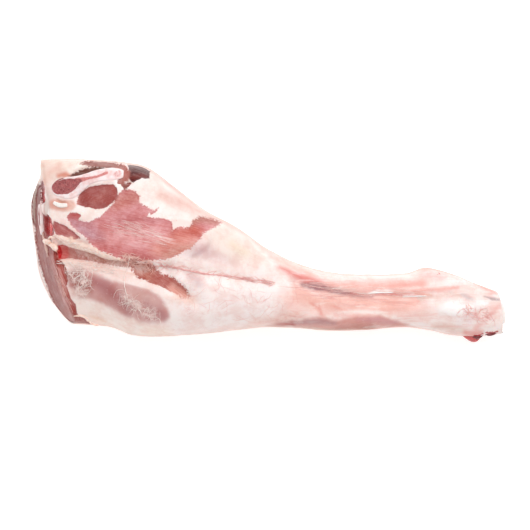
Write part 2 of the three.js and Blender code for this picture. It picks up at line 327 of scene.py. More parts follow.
@dataclass(frozen=True)
class LegForm:
    """The leg's outer form, with the same numbers as the CAD part, in millimetres."""

    length: float = 473
    width: float = 178
    thickness: float = 102
    front_corner: float = 2.35
    low_corner: float = 2.5
    widest_height: float = 0.45
    loin_lean: float = 0.4
    loin_lean_at_rump: float = 0.06
    loin_lean_height: float = 42
    loin_reach: float = 116
    hock_slant: float = 0.1
    hock_middle: Point = (-65, 21)
    hock_dome_radius: float = 70
    hock_proud: float = 3
    hock_reach: float = 40
    rim_radius: float = 1.1
    sections: tuple[Section, ...] = (
        Section("loin cut", 0.0, 0.503, -0.426, 0.67, 0.04, 5),
        Section("pubis", 0.063, 0.505, -0.435, 0.77, -0.02, 5),
        Section("hip joint", 0.127, 0.497, -0.447, 0.85, -0.03, 5),
        Section("flank", 0.203, 0.483, -0.483, 0.92, -0.03, 4),
        Section("pin bone", 0.25, 0.455, -0.496, 0.965, -0.03, 3.2),
        Section("rump", 0.3, 0.359, -0.495, 0.99, -0.03, 2.7),
        Section("thigh", 0.369, 0.219, -0.478, 1.0, -0.03, 2.4),
        Section("stifle", 0.437, 0.121, -0.459, 0.95, -0.03, 2.3),
        Section("knee", 0.5, 0.004, -0.444, 0.85, -0.025, 2.2),
        Section("calf", 0.572, -0.088, -0.452, 0.71, 0.02, 2.1),
        Section("upper shank", 0.64, -0.136, -0.466, 0.6, 0.07, 2.1),
        Section("shank", 0.707, -0.146, -0.461, 0.53, 0.08, 2.1),
        Section("lower shank", 0.8, -0.139, -0.446, 0.48, 0.05, 2.1),
        Section("heel", 0.842, -0.107, -0.461, 0.48, 0.02, 2.2),
        Section("hock", 0.895, -0.142, -0.491, 0.49, -0.01, 2.3),
        Section("hock joint", 0.95, -0.195, -0.499, 0.46, -0.02, 2.5),
        Section("hock cut", 1.0, -0.243, -0.486, 0.38, 0.02, 2.8),
    )
    loin_line: tuple[Point, ...] = (
        (-82, -188), (-68, -198), (-52, -207), (-27, -217), (8, -222), (38, -226), (64, -227), (90, -226),
    )
    ridges: tuple[Ridge, ...] = (
        Ridge("gracilis bulge", 4.5, 26, ((-165, 16), (-120, 12), (-75, 14))),
        Ridge("quadriceps bulge", 5, 21, ((-176, -42), (-140, -52), (-108, -62))),
        Ridge("femoral groove", -6, 8, ((-206, -6), (-170, -14), (-138, -22), (-100, -21))),
        Ridge("saphenous groove", -3, 7, ((-100, -21), (-50, -27), (6, -36))),
        Ridge("sartorius groove", -3, 9, ((-125, -26), (-95, -34), (-68, -54))),
        Ridge("tendon groove", -4.5, 6, ((30, -34), (66, -45), (100, -48), (150, -51))),
        Ridge("shin muscle", 2.5, 9, ((46, -72), (80, -74), (120, -72))),
        Ridge("hock knuckle", 3.5, 11, ((180, -58), (196, -62))),
        Ridge("hock hollow", -3, 7, ((168, -48), (196, -47), (226, -49))),
        Ridge("obturator hollow", -3, 11, ((-182, 50), (-164, 50))),
    )

    def __post_init__(self) -> None:
        """Makes the smooth curves through the sections."""
        xs = [self.left + s.along * self.length for s in self.sections]
        curves = {
            "back": [s.back * self.width for s in self.sections],
            "front": [s.front * self.width for s in self.sections],
            "top": [s.top * self.thickness for s in self.sections],
            "low": [s.low * self.thickness for s in self.sections],
            "corner": [s.corner for s in self.sections],
        }
        for name, values in curves.items():
            object.__setattr__(self, name, SmoothCurve(xs, values))
        ys, cuts = zip(*self.loin_line)
        object.__setattr__(self, "loin_curve", SmoothCurve(ys, cuts))

    @property
    def left(self) -> float:
        """Where the sections start."""
        return -self.length / 2

    @property
    def right(self) -> float:
        """Where the sections end."""
        return self.length / 2

    def loin_cut(self, y: Array, z: Array) -> Array:
        """x of the loin cut at places on it."""
        lean = self.loin_lean + (self.loin_lean_at_rump - self.loin_lean) * smooth(43, 86, y)
        return self.loin_curve(y) + lean * (z - self.loin_lean_height)

    def hock_cut(self, y: Array, z: Array) -> Array:
        """Follows the slanted, slightly domed hock cut.

        Args:
            y: Places across the leg.
            z: Heights.

        Returns:
            x at each place.
        """
        off = np.hypot(y - self.hock_middle[0], z - self.hock_middle[1])
        dome = off**2 / (2 * self.hock_dome_radius)
        return self.right + self.hock_proud - self.hock_slant * (y - self.hock_middle[0]) - dome

    def slanted(self, station: Array, y: Array, z: Array) -> Array:
        """Moves points of sections so that both ends meet their cuts.

        Args:
            station: Place of each point's section along the leg.
            y: Places across the leg.
            z: Heights.

        Returns:
            x of each point.
        """
        loin = 1 - smooth(self.left, self.left + self.loin_reach, station)
        hock = smooth(self.right - self.hock_reach, self.right, station)
        shift = loin * (self.loin_cut(y, z) - self.left) + hock * (self.hock_cut(y, z) - self.right)
        return station + shift

    def relief(self, x: Array, y: Array) -> Array:
        """Height that the muscles' bulges and grooves add.

        Args:
            x: Places along the leg.
            y: Places across the leg.

        Returns:
            One height for each place.
        """
        total = np.zeros(np.shape(x))
        for ridge in self.ridges:
            away = -Strand(ridge.line, (0.0,)).depth(x, y) / ridge.reach
            total += ridge.height * np.exp(-(away**2))
        return total

    def frame_at(self, station: Array) -> tuple[Array, Array, Array]:
        """Where the sections at stations are widest.

        Args:
            station: Places along the leg.

        Returns:
            Height of the widest place, middle and half width.
        """
        low, top = self.low(station), self.top(station)
        back, front = self.back(station), self.front(station)
        return low + (top - low) * self.widest_height, (back + front) / 2, (back - front) / 2

    def upper_height(self, station: Array, y: Array) -> Array:
        """Height of the sections' upper side, before relief.

        Args:
            station: Places along the leg.
            y: Places across the leg.

        Returns:
            One height for each place.
        """
        widest, middle, half = self.frame_at(station)
        across = np.clip((y - middle) / half, -1, 1)
        n = np.where(across > 0, self.corner(station), self.front_corner)
        return widest + (self.top(station) - widest) * (1 - np.abs(across) ** n) ** (1 / n)

    def inner_face(self, x: Array, y: Array) -> Array:
        """Height of the inner face over places in plan.

        Args:
            x: Places along the leg.
            y: Places across the leg.

        Returns:
            One height for each place.
        """
        x, y = np.asarray(x, float), np.asarray(y, float)
        station = x.copy()
        for _ in range(12):
            overrun = self.slanted(station, y, self.upper_height(station, y)) - x
            station = np.clip(station - overrun, self.left, self.right)
        return self.upper_height(station, y) + self.relief(x, y)

    def on_face(self, face: Face, u: Array, v: Array, out: Array) -> Array:
        """Points of a face, moved out of it.

        Args:
            face: The face, whose plan u and v are in: x and y, or y and z in a cut.
            u: First place in the plan.
            v: Second place in the plan.
            out: How far out of the face.

        Returns:
            Rows of x, y, z.
        """
        if face is Face.INNER:
            return np.stack([u, v, self.inner_face(u, v) + out], axis=-1)
        if face is Face.LOIN:
            return np.stack([self.loin_cut(u, v) - out, u, v], axis=-1)
        return np.stack([self.hock_cut(u, v) + out, u, v], axis=-1)

    def half_section(self, station: float, upper: bool, steps: int) -> Array:
        """Half of a section, evenly spaced: over the top from the back, or under the base and back.

        Args:
            station: Place along the leg.
            upper: Whether it is the upper half.
            steps: How many points.

        Returns:
            Rows of y, z.
        """
        widest, middle, half = self.frame_at(station)
        side = 1 if upper else -1
        height = abs((self.top(station) if upper else self.low(station)) - widest)
        angle = np.linspace(0, np.pi, 600)
        c, s = np.cos(angle), np.sin(angle)
        n = np.where(c > 0, self.corner(station), self.front_corner) if upper else self.low_corner
        y = middle + side * half * np.sign(c) * np.abs(c) ** (2 / n)
        z = widest + side * height * np.abs(s) ** (2 / n)
        run = np.concatenate([[0], np.cumsum(np.hypot(np.diff(y), np.diff(z)))])
        want = np.linspace(0, run[-1], steps, endpoint=False)
        return np.stack([np.interp(want, run, y), np.interp(want, run, z)], axis=1)

    def ring(self, station: float, top_steps: int, low_steps: int) -> Array:
        """One closed ring of the skin, with its rim rounded in near both cuts.

        Args:
            station: Place along the leg.
            top_steps: How many points over the top.
            low_steps: How many points under the base.

        Returns:
            Rows of x, y, z.
        """
        flat = np.vstack(
            [self.half_section(station, True, top_steps), self.half_section(station, False, low_steps)]
        )
        widest, _, _ = self.frame_at(station)
        crown = self.top(station) - widest
        y, z = flat.T
        x = self.slanted(np.full(len(y), station), y, z)
        upness = np.sqrt(np.clip((z - widest) / crown, 0, 1))
        z = z + upness * self.relief(x, y)
        near = min(station - self.left, self.right - station)
        if near < self.rim_radius:
            inset = self.rim_radius - math.sqrt(self.rim_radius**2 - (self.rim_radius - near) ** 2)
            heading = np.roll(flat, -1, axis=0) - np.roll(flat, 1, axis=0)
            heading /= np.linalg.norm(heading, axis=1)[:, None]
            y, z = y - inset * heading[:, 1], z + inset * heading[:, 0]
        return np.stack([x, y, z], axis=1)


# --------------------------------------------------------------------------- tissues


def patch(*points: Point) -> Patch:
    """A patch from its corners."""
    return Patch(points)


def strand(half: float | tuple[float, ...], *points: Point) -> Strand:
    """A strand from its half width or widths and its points."""
    return Strand(points, half if isinstance(half, tuple) else (half,))


def of_kind(kind: Kind) -> Callable[..., Tissue]:
    """A short call that makes tissues of one kind from the rest of their values."""
    return lambda name, tint, *rest: Tissue(name, kind, tint, *rest)


lean, under, cover, fat, meat, stain, blood, web, sheen = (of_kind(kind) for kind in Kind)

THIGH: tuple[Tissue, ...] = (
    fat("white flank fat", "#faece7", strand(17, (-110, 60), (-80, 42), (-55, 30)), 12),
    # Painted shade: the fat is darkened where it slopes down to the back edge.
    fat("fat slope", "#e6c3ba", strand((4, 6, 5), (-104, 54), (-76, 42), (-52, 30)), 6, 0.8),
    fat("rosy fat", "#fff3f1", strand(16, (-80, -52), (-40, -55), (0, -52)), 14, 0.9),
    fat("grey membrane", "#d3b5b6", strand((7, 9, 5), (-78, 2), (-58, -2), (-34, -10)), 9, 0.75),
    fat("grey fold", "#bd9ca0", strand((1.2, 2.2, 1), (-72, -8), (-57, 2), (-53, 9)), 3.4, 0.6),
    fat("ivory membrane", "#f0e1d8", strand((12, 14, 8), (-46, 12), (-28, 0), (-10, -8)), 10, 0.95),
    fat("ivory speck", "#ecd8c0", strand((3, 4, 3), (-34, 4), (-26, -2), (-20, -4)), 5, 0.6),
    fat("grey window", "#d9bfc0", strand((6, 5), (-76, -28), (-66, -33)), 5, 0.75),
    fat("cream flank edge", "#fde6d9", strand(7, (-176, -74), (-140, -80), (-100, -86)), 7, 0.9),
    fat("cream low fat", "#fdece4", strand(8, (-186, -58), (-160, -66), (-130, -78)), 8, 0.9),
    fat("orange low fleck", "#f3c9ac", strand((0.8, 1.6, 0.8), (-176, -67), (-168, -70), (-160, -73)),
        2.5, 0.6),
    # Painted shade: a tan line along the back edge, where the fat turns away from the light.
    fat("tan edge", "#e0b8aa", strand(2.4, (-112, 78), (-80, 54), (-30, 25), (0, 4)), 5, 0.8),
    fat("rump fat", "#f6e6dc", strand(16, (-222, 82), (-196, 80)), 10, 0.95),
    fat("rump pink", "#efc6b9", strand((3, 5, 4), (-222, 66), (-216, 74), (-206, 80)), 6, 0.75),
    fat("rump shade", "#dab7a8", strand((1, 1.4, 1), (-223, 84), (-221, 74), (-219, 64)), 2.5, 0.6),
    stain("rump low grey", "#d3bdb3", strand((2, 3, 2.4), (-217, 58), (-215, 50), (-216, 40)), 4, 0.7),
    fat("rosy rump spot", "#dd9684", strand((2.4, 3.2, 2), (-205, 71.5), (-199, 72.5), (-193, 71.5)), 2.6,
        0.95),
    lean("gracilis", "#da979a", patch((-198, 30), (-194, 35), (-188, 35), (-183, 33), (-185, 28),
        (-176, 25), (-171, 27), (-162, 31), (-156, 38), (-150, 45), (-148, 51), (-146, 54), (-139, 58),
        (-129, 56), (-123, 50), (-124, 45), (-120, 42), (-113, 38.5), (-109, 37), (-104.5, 40),
        (-106, 36.5), (-110, 34), (-113, 33), (-115.5, 35.5), (-117, 32), (-121, 31), (-110, 30),
        (-100, 29), (-92, 26), (-92, -9), (-106, -12), (-121, -13), (-138, -12), (-151, -9), (-162, -4),
        (-172, 3), (-181, 12), (-187, 16), (-193, 23)), 1.4, 1, 0, -13, 0.55),
    lean("gracilis tail", "#da979a", patch((-106, 29), (-92, 26), (-87, 26), (-90, 21), (-91, 17),
        (-84, 21.5), (-79, 19), (-74, 22), (-73, 27), (-67, 31), (-58, 31), (-43, 26), (-52, 20),
        (-60, 15), (-65, 8), (-74, 0), (-87, -7), (-96, -11), (-106, -12)), 2.6, 1, 0, -13, 0.55),
    meat("adductor", "#cf918a", strand((8, 8), (-146, 46), (-130, 50)), 6, 0.9),
    meat("adductor glow", "#df9f98", strand((4, 5), (-148, 38), (-138, 42)), 6, 0.6),
    meat("gracilis upper", "#dc9fa2", strand((5, 6, 4), (-150, 30), (-130, 37), (-106, 34)), 7, 0.8),
    meat("gracilis crease", "#b96d72", strand((0.5, 1.2, 0.6), (-146, 26), (-126, 28), (-96, 26)), 2.5,
        0.6),
    meat("gracilis belly", "#efb5b6", strand((12, 11, 9), (-156, 6), (-130, 9), (-106, 8)), 9, 0.9),
    meat("lilac sheen", "#d3a0aa", strand((6, 8, 5), (-190, 26), (-178, 18), (-164, 10)), 7, 0.95),
    meat("lilac gleam", "#dcb6c4", strand((1.2, 2.4, 1.4), (-184, 20), (-176, 14), (-168, 8)), 3.5, 0.8),
    meat("left red", "#c76c6b", strand((2.4, 3, 2), (-196, 31), (-189, 32.5), (-183, 31)), 3, 0.9),
    meat("plum rim", "#d78586", strand((3, 5, 5, 3), (-168, 3), (-152, -3), (-134, -6), (-114, -4)), 6,
        0.95),
    meat("low belly", "#dc999a", strand((3, 4, 3), (-136, -9), (-120, -9), (-104, -8)), 4, 0.7),
    meat("orange flank", "#e39a8b", strand((8, 9, 6), (-104, -2), (-84, 8), (-72, 12)), 8, 0.8),
    meat("red flank", "#cf7467", strand((5, 7, 4), (-88, 12), (-76, 18), (-66, 16)), 5, 0.95),
    meat("tan flank", "#dba395", strand((4, 5, 3), (-98, -8), (-82, -2), (-68, 5)), 4, 0.9),
    meat("sandy flank", "#b67a6b", strand((5, 4, 2), (-74, 27), (-62, 30), (-48, 26)), 5, 0.9),
    cover("pale sinew flash", "#f7e0da", patch((-92, 27), (-84, 27), (-74, 25), (-77, 21), (-83, 22.5),
        (-91, 17.5), (-92, 21)), 1.2, 0.9, 0.3),
    fat("inguinal fat", "#fff6f1", strand((6, 9, 8), (-212, 33), (-186, 37), (-160, 39)), 5),
    fat("fat by obturator", "#fff9f6", strand((4, 4), (-147, 62), (-140, 58)), 4),
    lean("dark left muscle", "#c28080", patch((-211, 27), (-205, 24.5), (-200, 23), (-193, 18.5),
        (-187, 13.5), (-183, 10), (-190, 9), (-196, 11), (-203, 13.5), (-209, 13.5), (-211, 19)), 1.0, 1,
        -0.6, -30, 0.6),
    cover("torn fat edge", "#fbe6e0", strand((1.4, 1.1, 0.8, 0.4), (-202, 27), (-194, 22.5), (-186, 15.5),
        (-176, 8)), 1.0),
    lean("seam gap", "#c98e86", patch((-212, 2), (-200, 2), (-186, -2), (-170, -7), (-158, -11),
        (-146, -12.5), (-128, -13), (-126, -18), (-140, -19), (-152, -17), (-168, -14), (-186, -11),
        (-200, -10), (-210, -10)), 1.4, 1, -0.6, -12, 0.5),
    meat("seam brown", "#d1a18f", strand((1.4, 2, 1.2), (-178, -8), (-160, -13), (-136, -16)), 3, 0.8),
    stain("seam haze", "#d3a99c", strand((3, 4), (-196, 9), (-178, 4)), 3, 0.7),
    under("quadriceps", "#cf9a96", patch((-193, -21), (-182, -20), (-166, -26), (-159, -31), (-149, -32),
        (-138, -33), (-125, -36), (-114, -40), (-107, -45), (-101, -52), (-95, -62), (-95, -68),
        (-101, -72), (-112, -71), (-126, -71), (-133, -69), (-146, -63), (-160, -56), (-170, -52),
        (-182, -48), (-192, -46), (-196, -38), (-194, -29)), 3, 0.9, -0.3, -22, 0.5),
    fat("quadriceps dusk", "#b57c7d", strand((5, 7, 6, 3), (-170, -32), (-156, -40), (-144, -50),
        (-136, -62)), 7, 0.9),
    fat("quadriceps veil", "#d8b3ae", strand((5, 7, 6), (-138, -38), (-122, -46), (-108, -58)), 8, 0.85),
    fat("quadriceps rose", "#cf9a98", strand((6, 6), (-122, -66), (-104, -66)), 6, 0.8),
    fat("quadriceps plum", "#b78284", strand((3, 4, 3), (-118, -54), (-106, -62), (-100, -68)), 5, 0.6),
    fat("quadriceps left haze", "#a8645d", strand((9, 9), (-189, -28), (-182, -39)), 6, 0.9),
    fat("quadriceps left fat", "#f4ded6", strand((2, 3, 2), (-196, -42), (-188, -44), (-178, -46)), 4,
        0.85),
    lean("wedge muscle", "#bb766c", patch((-131, -15), (-117, -15), (-110, -18), (-107, -23), (-100, -26),
        (-93, -28), (-88, -31), (-83, -36), (-78, -42), (-75, -47), (-79, -50), (-86, -48), (-95, -43),
        (-104, -38), (-112, -35), (-126, -29), (-134, -21)), 3.4, 1, -0.5, -38, 0.6),
    meat("wedge brown", "#cb9485", strand((5, 6), (-126, -18), (-114, -25)), 5, 0.85),
    meat("wedge dark", "#b8736b", strand((3, 4, 3), (-110, -27), (-100, -31), (-90, -37)), 5, 0.85),
    meat("wedge tip", "#f3c8ba", strand((5, 4, 3), (-92, -41), (-82, -47), (-76, -49)), 4, 0.95),
    cover("lower strip", "#f7dfd5", strand((2.2, 3.0, 3.2, 2.8, 2.0), (-206, -13), (-196, -13),
        (-178, -17), (-150, -23), (-130, -28)), 1.4, 1, 1.6),
    cover("lower strip fan", "#fbeae5", strand((3, 3, 3.6, 4), (-142, -29), (-122, -34), (-104, -41),
        (-88, -50)), 4, 0.95, 0.6),
    fat("strip haze", "#f3dcd5", strand((3, 6, 5), (-186, -18), (-165, -20), (-140, -27)), 6, 0.8),
    cover("upper strip", "#fae3d6", strand((2.2, 3.2, 3.2, 2.4, 1.0), (-207, 11), (-197, 7), (-178, 0),
        (-158, -7), (-138, -12)), 0.9, 1, 1.8),
    fat("upper strip crown", "#fcece2", strand((0.8, 1.4, 0.8), (-206, 12), (-194, 7.5), (-172, 0)), 1.6,
        0.8),
    cover("upper strip spur", "#f2d3c4", strand((0.4, 1.2, 0.5), (-194, 12), (-191, 8), (-186, 3)), 0.8,
        0.9, 0.8),
    stain("strip seam shade", "#c59c8f", strand((0.5, 1.0, 0.7), (-186, -2.5), (-166, -9), (-146, -14)),
        1.4, 0.6),
    fat("wedge tip haze", "#fadfd4", strand((4, 5), (-86, -47), (-72, -51)), 5, 0.9),
    fat("flank fat by wedge", "#fdf1ee", strand((4, 5, 4), (-108, -17), (-90, -25), (-76, -36)), 5),
    lean("obturator muscle", "#b36e6b", patch((-188, 43), (-185, 52), (-180, 58), (-174, 60.5),
        (-167, 62), (-155, 63), (-150, 63), (-147, 57), (-147, 51), (-150, 47), (-157, 41), (-162, 39),
        (-168, 39), (-180, 41)), 1.0, 1, -1.2, 20, 0.25),
    meat("obturator dusk", "#8f4f4e", strand((2, 3, 2), (-184, 46), (-174, 44), (-160, 43)), 4, 0.5),
    meat("obturator haze", "#c58a84", strand((1.6, 3, 2), (-172, 44), (-164, 50), (-158, 56)), 5, 0.6),
    meat("obturator rim", "#d79c92", strand((1.4, 1.6), (-187, 50), (-188, 42)), 2.4, 0.8),
    fat("cartilage bed", "#e2aa9b", strand((5, 6, 5.4), (-211, 43), (-202, 42.5), (-194, 42.5)), 2.2, 0.9),
    fat("cartilage bed pale", "#f3cfc2", strand((1, 1.6, 1), (-196, 47), (-190.5, 42), (-196, 37.5)), 1.6,
        0.8),
    stain("cartilage shade", "#b5806c", strand((0.6, 1, 0.6), (-208, 48.5), (-202, 46), (-196, 46)), 1.4,
        0.8),
    lean("top dark muscle", "#54282a", patch((-139, 87), (-129, 88), (-122, 86), (-117, 84), (-114.5, 78),
        (-115, 69), (-123, 70), (-129, 66), (-133, 63), (-137, 70), (-136, 79)), 1.0, 1, -1.0, -20, 0.5),
    meat("top dark core", "#5c2d2b", strand((1.6, 2.4, 1.4), (-133, 84), (-126, 81), (-119, 80)), 3, 0.7),
    meat("top dark edge", "#8e534f", strand((1.6, 2, 1.4), (-131, 71), (-124, 73), (-118, 72)), 3, 0.7),
    lean("dark tail", "#94605a", strand((1.4, 2.2, 1.2), (-143, 63.5), (-139.5, 60.5), (-134, 64)), 1.0,
        1, -0.8),
    cover("fat flakes", "#d9c8c2", strand((0.7, 1.5, 0.6), (-139, 73), (-136.5, 68), (-132, 65)), 0.9,
        0.9, 0.5),
    lean("brown crescent", "#b67c74", strand((2.6, 4, 4.4, 3.6, 2.2), (-150, 81), (-143, 80), (-139, 75),
        (-139, 69), (-145, 65)), 1.4, 1, -0.5, 60, 0.5),
    lean("brown top strip", "#a9756c", patch((-187, 84), (-178, 87.4), (-166, 88.4), (-158, 87),
        (-150, 85.4), (-143, 83), (-146, 79.5), (-154, 79), (-164, 80), (-176, 81.5)), 1.8, 1, -0.5, -6,
        0.6),
    meat("brown top core", "#99655d", strand((1.2, 1.8, 1), (-178, 85), (-166, 84.5), (-150, 82.5)), 2,
        0.8),
    lean("grey top strip", "#6c4a41", strand((1.2, 3.0, 3.6, 3.0, 1.6), (-193, 71.5), (-184, 75),
        (-174, 77), (-164, 77.5), (-155, 78)), 1.8, 1, -0.5, 12, 0.6),
    fat("grey top smear", "#bfa79b", strand((1, 2, 1.2), (-189, 77.5), (-182, 79.5), (-172, 81)), 2.4,
        0.85),
    stain("bone top rim shade", "#7f6258", strand((0.3, 0.7, 0.3), (-196, 71), (-188, 72.3),
        (-178, 73.6)), 0.9, 0.75),
    fat("cream top wedge", "#fdf3ec", strand((1.4, 2, 1), (-194, 76), (-184, 82), (-170, 82)), 2.5),
)

FACE: tuple[Tissue, ...] = (
    lean("loin muscles", "#994a41", patch((-236, 24), (-228, 40), (-222, 30), (-214, 8), (-208, -8),
        (-202, -14), (-196, -26), (-198, -38), (-195, -50), (-190, -56), (-188, -66), (-176, -76),
        (-190, -80), (-202, -78), (-210, -68), (-216, -58), (-222, -44), (-228, -28), (-234, -8),
        (-237, 10)), 1.4, 1, -0.4, -64, 0.7),
    lean("hip meat", "#873c35", patch((-233, 66), (-229, 64), (-228, 52), (-229, 40), (-228, 28),
        (-232, 22), (-240, 24), (-240, 50)), 1.2, 1, -0.4, -84, 0.6),
    meat("loin outer meat", "#973f36", strand((4, 5, 4), (-230, 16), (-224, -18), (-212, -52)), 4, 0.9),
    meat("loin inner meat", "#ba5c55", strand((4, 6, 6, 4), (-214, -8), (-206, -26), (-200, -48),
        (-192, -68)), 5, 0.9),
    meat("loin low meat", "#aa5e54", strand((5, 6), (-202, -66), (-188, -74)), 4, 0.9),
    meat("loin left red", "#9a5450", strand((2, 3, 2), (-234, 28), (-231.5, 21), (-232, 11)), 3, 0.75),
    cover("loin fascia", "#d9b0a2", strand((0.8, 1.7, 1.7, 0.7), (-227, 15), (-224, 7), (-222, 0),
        (-220, -8)), 1.2, 0.85, 0.3),
    stain("loin gloss streak", "#e6bfb8", strand((0.6, 1.2, 0.6), (-208, -18), (-203, -32), (-199, -46)),
        1.8, 0.7),
    stain("loin gloss line", "#ddb0ab", strand((0.5, 0.9, 0.5), (-214, -14), (-209, -34), (-203, -54)),
        1.4, 0.6),
    cover("hip fat", "#a98c81", strand((1.0, 1.5, 1.3, 0.6), (-233, 64), (-237, 52), (-237.4, 38),
        (-237, 27)), 1.2, 0.95, 0.3),
    meat("hip grey", "#703a34", strand((0.8, 1.4, 1.2), (-231, 58), (-231.5, 45), (-231.5, 31)), 1.6, 0.6),
    stain("bone bed", "#ca8075", strand((1.6, 2, 1.6), (-229, 45), (-229, 35), (-229, 17)), 2, 0.8),
    lean("upper pit", "#8c2c30", patch((-230, 63.5), (-227, 68), (-223, 67), (-221, 61), (-222, 53),
        (-222, 47), (-226, 45), (-228, 51), (-227.5, 58)), 1.2, 1, -2.0, 0, 0.4),
    blood("upper pit blood", "#a02a33", strand((1.0, 1.8, 1.6, 1.2), (-225, 65), (-225, 57), (-225, 51),
        (-225, 47)), 0.9),
    cover("pit gap", "#dccac2", strand((1.6, 2.4, 1.8), (-220.5, 47), (-220, 40), (-221, 34)), 1.6, 0.9),
    stain("pit gap pink", "#cf9d96", strand((0.8, 1.2), (-222.5, 45), (-223, 35)), 1.4, 0.6),
    lean("middle pit", "#a01f2a", patch((-224.1, 33), (-218.8, 33), (-214.8, 29), (-212, 22),
        (-211.5, 14), (-216.5, 10), (-221.2, 12), (-223.5, 20)), 1.0, 1, -3.0, 0, 0.4),
    blood("middle pit blood", "#ad1f2d", strand((3.2, 5.0, 4.2), (-219.4, 29), (-218.2, 21),
        (-216.5, 14)), 1.0),
    lean("lower pit", "#da7b76", patch((-208, 2), (-203, 3), (-198, 1), (-198, -8), (-204, -10),
        (-208, -8), (-208.5, -3)), 1.4, 1, -1.2, -12, 0.5),
    blood("lower pit blood", "#c02c38", strand((1.0, 1.9, 1.3), (-207, 1), (-206.6, -4), (-207, -8)), 1.1),
    cover("pit fat", "#f6dccd", strand((2.2, 2.8, 2.6), (-219, 7), (-214, 3), (-209, -2)), 1.4, 0.9, 1.2),
)

